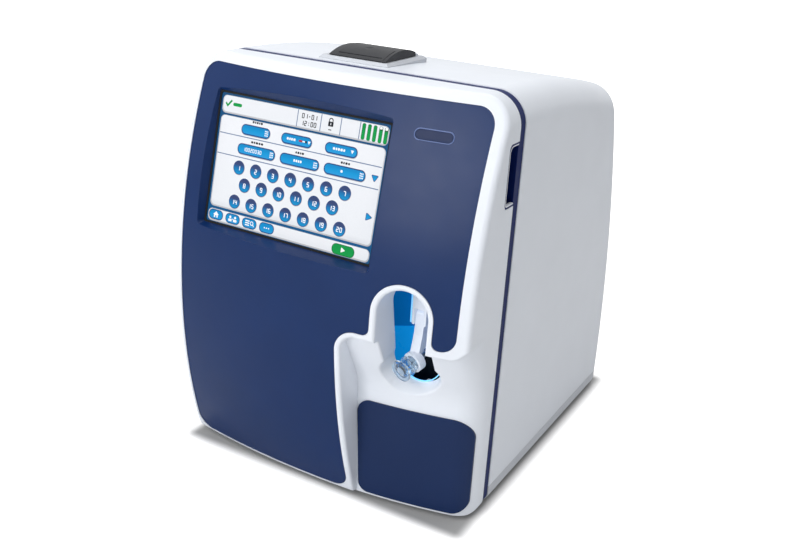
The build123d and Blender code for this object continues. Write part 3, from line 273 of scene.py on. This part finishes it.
def add_field(bm, shade, outline, low, high, frame_matrix, material):
    """A thin raised field with a closed outline, its UV running over its own width and height."""
    bottom = [bm.verts.new(frame_matrix @ Vector((p[0], p[1], low))) for p in outline]
    top = [bm.verts.new(frame_matrix @ Vector((p[0], p[1], high))) for p in outline]
    left, right = min(p[0] for p in outline), max(p[0] for p in outline)
    foot, head = min(p[1] for p in outline), max(p[1] for p in outline)
    across = {}
    for verts in (bottom, top):
        for vert, p in zip(verts, outline):
            across[vert] = ((p[0] - left) / (right - left), (p[1] - foot) / (head - foot))
    faces = [bm.faces.new(top), bm.faces.new(list(reversed(bottom)))]
    count = len(outline)
    for i in range(count):
        j = (i + 1) % count
        faces.append(bm.faces.new([bottom[i], bottom[j], top[j], top[i]]))
    for face in faces:
        face.material_index = material
        for loop in face.loops:
            loop[shade].uv = across[loop.vert]


# ------------------------------------------------------------ the display's materials
CELL_SCALE = 900.0
CELL_LOW, CELL_HIGH = 0.60, 0.62       # how much of its colour a cell reflects


def lit(name, *stops, glow=0.32):
    """A glowing field of the display behind glass, shaded from its foot to its head."""
    mat, tree, bsdf = new_material(name)
    where = add_node(tree, "UVMap", uv_map="shade")
    split = add_node(tree, "SeparateXYZ", {"Vector": where.outputs["UV"]})
    ramp = add_node(tree, "ValToRGB", {"Fac": split.outputs["Y"]})
    ends = (ramp.color_ramp.elements[0], ramp.color_ramp.elements[1])
    for end, (place, colour) in zip(ends, (stops[0], stops[-1])):
        end.color = srgb(colour) + (1,)
        end.position = place
    for place, colour in stops[1:-1]:
        ramp.color_ramp.elements.new(place).color = srgb(colour) + (1,)
    body_place = add_node(tree, "TexCoord")
    cells = add_node(tree, "TexNoise", {"Scale": CELL_SCALE, "Detail": 1.0,
                                        "Vector": body_place.outputs["Object"]})
    spread = add_node(tree, "MapRange", {
        "From Min": NOISE_LOW, "From Max": NOISE_HIGH, "To Min": CELL_LOW,
        "To Max": CELL_HIGH, "Value": cells.outputs["Fac"]})
    mix = add_node(tree, "Mix", {
        "Factor": 1.0, "A": ramp.outputs["Color"], "B": spread.outputs["Result"]},
        data_type="RGBA", blend_type="MULTIPLY")
    feed(tree, bsdf, {
        "Base Color": mix.outputs["Result"], "Emission Color": ramp.outputs["Color"],
        "Emission Strength": glow, "Roughness": 0.3, "Specular IOR Level": 0.12})
    return mat


display_looks = [
    lit("display_border", (0.0, "14598C"), (1.0, "174F7C")),
    lit("display_white", (0.0, "E2E5EB"), (0.06, "EEF1F6"), (1.0, "F2F4F9")),
    lit("display_edge", (0.0, "C3C4C8"), (1.0, "D6D8DD")),
    lit("display_line", (0.0, "6D82A6"), (1.0, "6D82A6")),
    lit("display_ink", (0.0, "22262E"), (1.0, "22262E")),
    lit("display_outline", (0.0, "1C4F8B"), (1.0, "2A4A80")),
    lit("display_cyan", (0.0, "2C9BDD"), (0.45, "159AD8"), (1.0, "1288C8")),
    lit("display_disc", (0.0, "1796D2"), (0.42, "1C79B6"), (0.62, "2C5C94"),
        (0.75, "3C4A78"), (1.0, "38466F")),
    lit("display_light", (0.0, "FFFFFF"), (1.0, "F4F8FF"), glow=0.36),
    lit("display_green", (0.0, "10A24C"), (1.0, "0A9647")),
    lit("display_green_rim", (0.0, "0B7A43"), (1.0, "0B6A44")),
    lit("display_red", (0.0, "B02530"), (1.0, "B02530")),
]
BORDER, WHITE, EDGE, LINE, INK, OUTLINE, CYAN, DISC, LIGHT, GREEN, GREEN_RIM, RED = range(12)


# ------------------------------------------------------------ drawing on the screen
SEGMENTS = {
    "0": "abcdef", "1": "bc", "2": "abged", "3": "abgcd", "4": "fgbc", "5": "afgcd",
    "6": "afgedc", "7": "abc", "8": "abcdefg", "9": "abcdfg",
}
DIGIT_WIDTH = 0.52           # of its height
DASH_WIDTH = 0.4             # of a digit's height
THIN, BOLD = 0.62, 0.85      # strokes of the digits, mm
FIRST_LEVEL, LEVEL_STEP = 0.02, 0.03   # above the glass, mm
SEGMENT_STEP = 0.2           # of a level, so that a digit's bars don't share a plane


class Display:
    """Flat fields in the screen's own places: u from its left side, v from its top, in mm.

    A level is a layer, counted from the glass outwards; a look is a place in display_looks.
    """

    def __init__(self, name):
        self.name = name
        self.bm = bmesh.new()
        self.shade = self.bm.loops.layers.uv.new("shade")
        self.frame = screen_frame()

    def field(self, outline, level, look):
        """Any closed outline, turned anticlockwise."""
        points = [(u - screen_width / 2, screen_height / 2 - v) for u, v in outline]
        area = sum(points[i - 1][0] * points[i][1] - points[i][0] * points[i - 1][1]
                   for i in range(len(points)))
        if area < 0:
            points.reverse()
        low = FIRST_LEVEL + LEVEL_STEP * level
        add_field(self.bm, self.shade, points, low, low + LEVEL_STEP, self.frame, look)

    def pane(self, u, v, width, height, radius, level, look):
        """A rectangle round its centre, with rounded corners where it has a radius."""
        corners = box_corners(u - width / 2, u + width / 2, v + height / 2, v - height / 2)
        self.field(round_outline(corners, radius) if radius > 0 else corners, level, look)

    def disc(self, u, v, radius, level, look, steps=28):
        self.field([(u + radius * math.cos(2 * math.pi * k / steps),
                     v + radius * math.sin(2 * math.pi * k / steps))
                    for k in range(steps)], level, look)

    def triangle(self, points, radius, level, look):
        self.field(round_outline(points, radius), level, look)

    def digit(self, figure, u, v, height, level, look, stroke):
        """A seven-segment figure."""
        width = height * DIGIT_WIDTH
        bars = {
            "a": (0, -height / 2, width, stroke), "g": (0, 0, width, stroke),
            "d": (0, height / 2, width, stroke),
            "f": (-width / 2, -height / 4, stroke, height / 2),
            "e": (-width / 2, height / 4, stroke, height / 2),
            "b": (width / 2, -height / 4, stroke, height / 2),
            "c": (width / 2, height / 4, stroke, height / 2),
        }
        for index, key in enumerate(SEGMENTS[figure]):
            du, dv, wide, tall = bars[key]
            self.pane(u + du, v + dv, wide, tall, 0, level + SEGMENT_STEP * index, look)

    def number(self, text, u, v, height, level, look, stroke):
        """Figures, dashes and colons in a row round their centre."""
        step = height * DIGIT_WIDTH + 1.5 * stroke + 0.35
        start = u - step * (len(text) - 1) / 2
        for index, mark in enumerate(text):
            place = start + index * step
            if mark == "-":
                self.pane(place, v, height * DASH_WIDTH, stroke, 0, level, look)
            elif mark == ":":
                self.pane(place, v - height / 4, stroke, stroke, 0, level, look)
                self.pane(place, v + height / 4, stroke, stroke, 0, level, look)
            else:
                self.digit(mark, place, v, height, level, look, stroke)

    def strokes(self, u, v, widths, height, level, look, gap=0.7):
        """A row of short bars in the place of a word."""
        length = sum(widths) + gap * (len(widths) - 1)
        place = u - length / 2
        for wide in widths:
            self.pane(place + wide / 2, v, wide, height, min(wide, height) * 0.3, level, look)
            place += wide + gap

    def keypad(self, u, v, level, look):
        """A small block of nine keys."""
        for row in range(3):
            for column in range(3):
                self.pane(u + 1.5 * (column - 1), v + 2.1 * (row - 1), 1.0, 1.4, 0.3, level,
                          look)

    def done(self):
        to_piece(self.name, self.bm, "front_door", display_looks, False)


# ------------------------------------------------------------ what the screen shows
round_key_rows = ((33.9, 7, 72.6), (43.9, 6, 89.3), (33.9, 7, 108))    # first u, count, v
round_key_pitch = 21.84
home_u, figures_u, search_u, dots_u = 12.3, 34.6, 56.6, 79.0
foot_key_v = 126.1
clock_u = 111.6
lock_u = 137.3
upper_pill_v, lower_pill_v = 32.7, 52.7


def add_fields():
    """The border, three white areas, rules, tick, clock, lock and level bars."""
    base = Display("display_fields")
    base.pane(102.3, 67, 204.0, 133.4, 2.0, 0, BORDER)
    for u, v, width, height in ((102.8, 11.4, 201.0, 18.2), (102.7, 70, 200.6, 95.0),
                                (102.4, 126.7, 201.2, 13.0)):
        base.pane(u, v, width, height, 5, 1, EDGE)
        base.pane(u, v - 0.5, width - 2.4, height - 1.9, 4.4, 2, WHITE)
    for u in (97.4, 125.6, 148.9, 170.7):
        base.pane(u, 11, 0.9, 17, 0, 3, LINE)
    for v in (40.8, 62.0):
        base.pane(102.2, v, 198.0, 0.95, 0, 3, LINE)
    base.field([(5.6, 10.6), (7.0, 9.2), (8.9, 11.2), (13.2, 6.2), (14.7, 7.5), (9.0, 14.2)],
               3, GREEN)
    base.pane(21.6, 10.5, 11.4, 3.4, 1.6, 3, GREEN)
    base.number("01-01", clock_u, 7.8, 4.2, 3, INK, BOLD)
    base.number("12:00", clock_u, 14.9, 4.2, 3, INK, BOLD)
    base.disc(lock_u, 7.2, 2.6, 3, INK)
    base.disc(lock_u, 7.2, 1.6, 4, WHITE)
    base.pane(lock_u, 10.6, 6.0, 4.6, 0.8, 5, INK)
    base.pane(lock_u, 10.6, 1.0, 2.0, 0.4, 6, WHITE)
    base.pane(137, 16.2, 3.6, 0.9, 0.4, 3, INK)
    for index, u in enumerate((175, 181.3, 187.6, 194, 200.0)):
        base.pane(u, 11.2, 4.0, 15.6, 1.6, 3, GREEN_RIM)
        base.pane(u, 11.2, 3.0, 14.6, 1.2, 4, GREEN)
        if index > 2:
            longer = 0.4 * (index - 3)
            base.pane(u, 4.9, 3.0, 2.4 + longer, 0.9, 5, LIGHT)
            base.pane(u, 6.6 + longer, 2.6, 0.9, 0.2, 6, INK)
    base.done()


def add_keys():
    """The pills, round keys, foot keys, green key and two arrows."""
    keys = Display("display_keys")
    pills = ((30.5, 67.4, 27.5, 38.3), (81.4, 118.8, 27.5, 38.3), (134.5, 172.4, 27.5, 38.3),
             (28.8, 76.9, 47.3, 58.5), (83, 131, 47.3, 58.5), (136.7, 185.1, 47.3, 58.5))
    for left, right, top, foot in pills:
        u, v = (left + right) / 2, (top + foot) / 2
        width, height = right - left, foot - top
        keys.pane(u + 0.25, v + 0.35, width + 0.5, height + 0.5, 5.6, 3, EDGE)
        keys.pane(u, v, width, height, 5.3, 4, OUTLINE)
        keys.pane(u, v - 0.1, width - 2.2, height - 2.4, 4.2, 5, CYAN)
    for start, count, v in round_key_rows:
        for index in range(count):
            u = start + round_key_pitch * index
            keys.disc(u + 0.2, v + 0.35, 7.45, 3, EDGE)
            keys.disc(u, v, 7.25, 4, OUTLINE)
            keys.disc(u, v, 6.55, 5, DISC)
    for u in (home_u, figures_u, search_u, dots_u):
        keys.pane(u, 126.2, 18.8, 10.6, 4.9, 4, OUTLINE)
        keys.pane(u, foot_key_v, 17.0, 8.8, 4.1, 5, CYAN)
    keys.pane(172.9, 127.4, 26.6, 10.9, 5.2, 4, GREEN_RIM)
    keys.pane(172.9, 127.3, 24.9, 9.3, 4.4, 5, GREEN)
    inner_size = 0.76
    for points in ([(190.9, 49.2), (199.9, 49.2), (195.4, 56.4)],
                   [(192.2, 85.2), (192.2, 93.8), (200.0, 89.5)]):
        keys.triangle(points, 0.9, 4, OUTLINE)
        middle_u, middle_v = sum(p[0] for p in points) / 3, sum(p[1] for p in points) / 3
        keys.triangle([(middle_u + inner_size * (u - middle_u),
                        middle_v + inner_size * (v - middle_v)) for u, v in points],
                      0.6, 5, CYAN)
    keys.done()


def add_marks():
    """Bars in the place of words, plain numbers and simple signs on the keys."""
    marks = Display("display_marks")
    for u, v, widths in ((50, 24.2, (2.4, 1.6, 2.2, 1.4, 2.6)),
                         (52.7, 44.3, (2.6, 1.8, 3.0, 2.2, 2.8)),
                         (106.1, 44.5, (1.8, 2.4, 1.4, 2.6)),
                         (160.5, 44.4, (2.2, 1.6, 2.6, 2.0))):
        marks.strokes(u, v, widths, 2.1, 3, INK)
    marks.strokes(93.6, upper_pill_v, (2.4, 1.6, 2.0, 2.6), 2.4, 6, LIGHT)
    marks.pane(105.2, upper_pill_v, 4.2, 1.9, 0.5, 6, RED)
    marks.pane(108.9, upper_pill_v, 3.2, 1.3, 0.4, 6, LIGHT)
    marks.pane(111.6, upper_pill_v, 2.4, 2.3, 0.4, 6, INK)
    marks.triangle([(113.9, 31.4), (117.1, 31.4), (115.5, 34.6)], 0.3, 6, LIGHT)
    marks.strokes(151.0, upper_pill_v, (2.6, 1.8, 2.2, 2.8, 2.0), 2.4, 6, LIGHT)
    marks.triangle([(164.6, 31.0), (168.2, 31.0), (166.4, 34.6)], 0.3, 6, LIGHT)
    marks.number("10020030", 48.0, 52.9, 3.3, 6, LIGHT, THIN)
    marks.strokes(105.0, lower_pill_v, (1.8, 2.2, 1.6, 2.2), 2.4, 6, LIGHT)
    marks.strokes(157.6, lower_pill_v, (2.4,), 2.4, 6, LIGHT)
    for u, v in ((62.6, 32.9), (72.3, 52.9), (126.3, 52.9), (180.5, 52.9)):
        marks.keypad(u, v, 6, LIGHT)
    serial = 0
    for start, count, v in round_key_rows:
        for index in range(count):
            serial += 1
            marks.number(str(serial), start + round_key_pitch * index, v + 0.5, 4.2, 6, LIGHT,
                         BOLD)
    # home
    u, v = home_u, foot_key_v
    marks.field([(u - 3.6, v + 0.1), (u, v - 3.4), (u + 3.6, v + 0.1), (u + 2.5, v + 0.1),
                 (u + 2.5, v + 3.1), (u + 0.8, v + 3.1), (u + 0.8, v + 0.9), (u - 0.8, v + 0.9),
                 (u - 0.8, v + 3.1), (u - 2.5, v + 3.1), (u - 2.5, v + 0.1)], 6, LIGHT)
    # two figures
    u = figures_u
    for shift in (-3.2, 3.2):
        marks.disc(u + shift, v - 1.5, 1.35, 6, LIGHT, 16)
        marks.pane(u + shift, v + 1.7, 4.6, 2.6, 1.0, 6, LIGHT)
    marks.pane(u, v + 0.3, 2.6, 0.7, 0.2, 7, LIGHT)
    # a list with a lens beside it
    u = search_u
    for shift in (-2.3, -0.1, 2.1):
        marks.pane(u - 2.6, v + shift, 5.4, 1.2, 0.4, 6, LIGHT)
    marks.disc(u + 3.1, v - 0.5, 2.2, 6, LIGHT, 20)
    marks.disc(u + 3.1, v - 0.5, 1.3, 7, CYAN, 20)
    marks.field([(u + 4.3, v + 0.8), (u + 5.0, v + 0.2), (u + 6.4, v + 2.2), (u + 5.7, v + 2.8)],
                7, LIGHT)
    # three dots
    for shift in (-2.6, 0.0, 2.6):
        marks.disc(dots_u + shift, v, 0.75, 6, LIGHT, 14)
    # forward
    marks.triangle([(170.6, 124.6), (170.6, 130.0), (175.6, 127.3)], 0.5, 6, LIGHT)
    marks.done()


# ------------------------------------------------------------ badge place
def add_badge():
    """A bare raised pill on the panel's upper right, curved as the panel is."""
    left, right, low, high = 90.5, 129.5, 396.2, 407.2
    end_radius = 5.2
    end_reach = 5.4          # the rings close in by this much at most along the pill
    middle = Vector(((left + right) / 2, (low + high) / 2))
    outline = round_outline(box_corners(left, right, low, high), end_radius, 8)
    count = len(outline)
    bm = bmesh.new()

    def ring(inset, lift):
        verts = []
        for p in outline:
            toward = middle - p
            reach = Vector((max(min(toward.x, end_reach), -end_reach), toward.y))
            place = p + reach * inset
            verts.append(bm.verts.new(Vector((
                place.x, bulge(place.x, place.y, panel_drop) - lift, place.y)) * MM))
        return verts

    face_look, rim_look = 0, 1
    rings = [ring(inset, lift) for inset, lift in (
        (0, -0.02), (0, 0.28), (0.06, 0.42), (0.15, 0.42), (0.19, 0.30), (0.6, 0.36))]
    ring_looks = [rim_look, rim_look, rim_look, face_look, face_look]
    for look, first, second in zip(ring_looks, rings, rings[1:]):
        for i in range(count):
            j = (i + 1) % count
            face = bm.faces.new([first[i], first[j], second[j], second[i]])
            face.material_index = look
    bm.faces.new(rings[-1])
    bm.faces.new(list(reversed(rings[0])))
    badge_face = surface("badge_face", "13254C", 0.36, specular=0.2, bump=0.02, mottle=0.04)
    badge_rim = surface("badge_rim", "5C71A4", 0.3, specular=0.35, bump=0.02, mottle=0.02)
    to_piece("badge_pill", bm, "front_door", [badge_face, badge_rim])


# ------------------------------------------------------------ inside the sampler recess
def upright(y):
    """A plane that faces the front at depth y, in mm: across, up, out."""
    turned = Matrix(((1, 0, 0), (0, 0, -1), (0, 1, 0))).to_4x4()
    return Matrix.Scale(MM, 4) @ Matrix.Translation((0, y, 0)) @ turned


def add_tray_plates():
    """On the tray's face: its lighter lower half and a strip, both with a painted glow, a black
    plate of painted shade for the well, and an edge of painted highlight.
    """
    tray_front = seam_y - 14.0
    # The lower half and the strip carry a painted glow: emission on parts that are no lamps.
    low_blue = surface("tray_low_blue_painted_glow", "1292DC", 0.3, specular=0.4, bump=0.03, mottle=0.06,
                       glow="0A8BD6", glow_strength=0.62)
    # A narrow glowing strip: a painted highlight along the edge of the tray's face.
    edge_highlight_blue = surface("tray_edge_painted_highlight", "7FC4F2", 0.3, specular=0.4, bump=0.02, mottle=0.03,
                        glow="6FBDF2", glow_strength=0.8)
    # A black plate on the tray's face: painted shade where the well lies.
    painted_well_shade = surface("painted_well_shade", "050C14", 0.45, specular=0.3, bump=0.06, mottle=0.1)
    strip_navy_painted_glow = surface("strip_navy_painted_glow", "0A2C86", 0.3, specular=0.4, bump=0.03, mottle=0.05,
                         glow="06226E", glow_strength=0.4)
    plates = (
        # corners, their radii, near and far side before the tray's face
        ([(51.5, 131), (99.0, 131), (95.5, 163), (95.5, 196), (51.5, 184)],
         [4, 3, 6, 2, 3], 0.05, 0.9),
        ([(84.0, 130), (137.0, 130), (137.0, 176), (98.0, 172), (96.5, 152)],
         [3, 3, 4, 6, 14], 0.95, 1.6),
        (box_corners(110.5, 117.0, 186, 226), 1.2, 0.05, 3.0),
        (box_corners(90.2, 92.6, 206.5, 251), 0.6, 0.05, 20.0),
    )
    bm = bmesh.new()
    shade = bm.loops.layers.uv.new("shade")
    frame_matrix = upright(tray_front)
    for look, (corners, radii, near, far) in enumerate(plates):
        add_field(bm, shade, round_outline(corners, radii), near, far, frame_matrix, look)
    to_piece("tray_plates", bm, "instrument", [low_blue, painted_well_shade, strip_navy_painted_glow, edge_highlight_blue],
             False)


def add_light_guide():
    """A glowing strip round the foot of the recess: a painted highlight along the rim of its
    opening.
    """
    rim_highlight_blue = surface("painted_rim_highlight", "8FD0F8", 0.25, specular=0.4, bump=0.02, mottle=0.02,
                         glow="74C4F7", glow_strength=0.9)
    inner_radius, outer_radius = 24.9, 25.8
    back_y, front_y = seam_y - 37.9, seam_y - 39.6
    start, sweep, steps = -112, 92, 40     # degrees, degrees, count
    bm = bmesh.new()

    def arc(radius, y):
        verts = []
        for step in range(steps + 1):
            angle = math.radians(start + sweep * step / steps)
            verts.append(bm.verts.new(Vector((
                arch_x + radius * math.cos(angle), y,
                arch_foot + radius * math.sin(angle))) * MM))
        return verts

    arcs = [arc(inner_radius, back_y), arc(outer_radius, back_y),
            arc(outer_radius, front_y), arc(inner_radius, front_y)]
    for first, second in zip(arcs, arcs[1:] + arcs[:1]):
        for i in range(steps):
            bm.faces.new([first[i], first[i + 1], second[i + 1], second[i]])
    for end in (0, steps):
        bm.faces.new([verts[end] for verts in arcs])
    to_piece("recess_painted_rim_highlight", bm, "front_door", [rim_highlight_blue])


# ------------------------------------------------------------ lip of the finger pull
def add_pull_lip():
    """A rounded white lip along the pull's front, top and foot, inside the side's face."""
    low, high = (Vector(corner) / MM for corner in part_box("finger_pull"))
    outer = high.x + 0.15
    wall = 1.2
    lower_radius, upper_radius = 4, 7
    past_back = 40           # the loop's far end, which is left off
    section = ((0, 3.4), (0, 0.5), (0.45, 0.05), (1.25, 0.05), (1.7, 0.5), (1.7, 3.4))
    back, front = high.y - 0.3, low.y + wall + 0.05
    foot, head = low.z + wall + 0.05, high.z - wall - 0.05
    middle = Vector((front + 9, (foot + head) / 2))
    loop = round_outline(
        [(back + past_back, foot), (front, foot), (front, head), (back + past_back, head)],
        [0, lower_radius, upper_radius, 0], 8)
    line = [Vector((back, foot))] + loop[1:-1] + [Vector((back, head))]
    bm = bmesh.new()
    rings = []
    for i, here in enumerate(line):
        along = (line[min(i + 1, len(line) - 1)] - line[max(i - 1, 0)]).normalized()
        side = Vector((-along.y, along.x))
        if side.dot(middle - here) < 0:
            side = -side
        ring = []
        for inward, deep in section:
            place = here + side * inward
            ring.append(bm.verts.new(Vector((outer - deep, place.x, place.y)) * MM))
        rings.append(ring)
    count = len(section)
    for first, second in zip(rings, rings[1:]):
        for k in range(count):
            j = (k + 1) % count
            bm.faces.new([first[k], first[j], second[j], second[k]])
    bm.faces.new(rings[0])
    bm.faces.new(list(reversed(rings[-1])))
    to_piece("pull_lip", bm, "front_door", [looks["white_cover"]])


# ------------------------------------------------------------ camera, floor and light
def add_camera():
    """The photograph's viewpoint: forward and right of the door, looking down a little."""
    photo_width, photo_height = 800, 554
    focal = 990.36                         # pixels
    centre_x, centre_y = 397.14, 265.57    # where the view's axis meets the photograph
    place = Vector((510.39 * MM, -830.02 * MM + seam_y * MM, 614.39 * MM))
    right = Vector((0.86374, 0.50079, 0.05624)).normalized()
    up = Vector((-0.22693, 0.28688, 0.9307))
    up = (up - right * up.dot(right)).normalized()
    back = right.cross(up)
    data = bpy.data.cameras.new("camera")
    data.sensor_width = 36.0
    data.lens = focal / photo_width * 36
    data.shift_x = (photo_width / 2 - centre_x) / photo_width
    data.shift_y = (centre_y - photo_height / 2) / photo_width
    data.clip_start = 0.05
    data.clip_end = 60
    camera = bpy.data.objects.new("camera", data)
    bpy.context.scene.collection.objects.link(camera)
    rotation = Matrix((right, up, back)).transposed()
    camera.matrix_world = Matrix.Translation(place) @ rotation.to_4x4()
    bpy.context.scene.camera = camera


def either(tree, first, *others):
    """1 where any of the outputs is 1."""
    out = first
    for other in others:
        out = add_node(tree, "Math", {0: out, 1: other}, operation="MAXIMUM").outputs[0]
    return out


def add_floor():
    """A plain pale floor that keeps the object's shadow near it, deepened by a painted contact
    shadow close round its footprint, and is white further out.
    """
    size = 20.0
    footprint_y = 0.016                    # the footprint's centre
    footprint_half = (0.168, 0.205, 0)
    pale, painted_shadow_tone = 0.86, 0.42                 # the floor's colour, away from the part and at it; the darker one is a painted contact shadow
    mesh = bpy.data.meshes.new("floor")
    mesh.from_pydata([(x, y, 0) for x, y in box_corners(-size, size, -size, size)], [],
                     [(0, 1, 2, 3)])
    floor = bpy.data.objects.new("floor", mesh)
    bpy.context.scene.collection.objects.link(floor)
    mat, tree, bsdf = new_material("floor")

    def vector(operation, *inputs):
        return add_node(tree, "VectorMath", dict(enumerate(inputs)), operation=operation)

    def ramp(kind, ends):
        return add_node(tree, "MapRange", {"Value": reach.outputs["Value"], **ends},
                        interpolation_type=kind).outputs["Result"]

    place = add_node(tree, "TexCoord")
    centred = vector("SUBTRACT", place.outputs["Object"], (0, footprint_y, 0))
    away = vector("ABSOLUTE", centred.outputs[0])
    outside = vector("SUBTRACT", away.outputs[0], footprint_half)
    clipped = vector("MAXIMUM", outside.outputs[0])
    reach = vector("LENGTH", clipped.outputs[0])
    # Glow for camera rays, cut away near the footprint: painted shadow.
    near = ramp("SMOOTHSTEP", {"From Max": 0.024, "To Max": 0.85})
    # Colour darkened near the footprint: painted contact shadow.
    painted_contact_shadow = ramp("SMOOTHSTEP", {"From Max": 0.02, "To Min": painted_shadow_tone, "To Max": pale})
    far = ramp("LINEAR", {"From Min": 0.5, "From Max": 1.2, "To Max": 0.35})
    both = add_node(tree, "Math", {0: near, 1: far}, operation="ADD")
    path = add_node(tree, "LightPath")
    seen = either(tree, path.outputs["Is Camera Ray"], path.outputs["Is Transmission Ray"])
    level = add_node(tree, "Math", {0: seen, 1: both.outputs[0]}, operation="MULTIPLY")
    feed(tree, bsdf, {
        "Base Color": painted_contact_shadow, "Roughness": 0.9, "Specular IOR Level": 0.0,
        "Emission Color": (1, 1, 1, 1), "Emission Strength": level.outputs[0]})
    mesh.materials.append(mat)


def add_world():
    """White where it is seen, directly or in gloss and glass, and a softer light on the part."""
    fill = 0.45
    world = bpy.data.worlds.new("world")
    bpy.context.scene.world = world
    world.use_nodes = True
    tree = world.node_tree
    path = add_node(tree, "LightPath")
    seen = either(tree, path.outputs["Is Camera Ray"], path.outputs["Is Glossy Ray"],
                  path.outputs["Is Transmission Ray"])
    level = add_node(tree, "MapRange", {"To Min": fill, "Value": seen})
    feed(tree, tree.nodes["Background"], {
        "Color": (1, 1, 1, 1), "Strength": level.outputs["Result"]})


def add_light(name, place, target, power, width, height):
    """A soft box at a place, turned to a target."""
    data = bpy.data.lights.new(name, "AREA")
    data.shape = "RECTANGLE"
    data.size = width
    data.size_y = height
    data.energy = power
    lamp = bpy.data.objects.new(name, data)
    bpy.context.scene.collection.objects.link(lamp)
    lamp.location = place
    lamp.rotation_mode = "QUATERNION"
    lamp.rotation_quaternion = (Vector(target) - Vector(place)).to_track_quat("-Z", "Y")


add_fields()
add_keys()
add_marks()
add_badge()
add_tray_plates()
add_light_guide()
add_pull_lip()
add_camera()
add_floor()
add_world()
add_light("key", (-1.0, -1.7, 2.4), (0, 0, 0.25), 20, 1.6, 1.6)
add_light("sheen", (-0.35, -2.1, 0.95), (0.05, -0.2, 0.3), 17, 0.85, 1.2)
add_light("top", (0.1, 0.4, 2.7), (0, 0.1, 0.4), 22, 1.8, 1.8)

bpy.context.scene.view_settings.view_transform = "Standard"
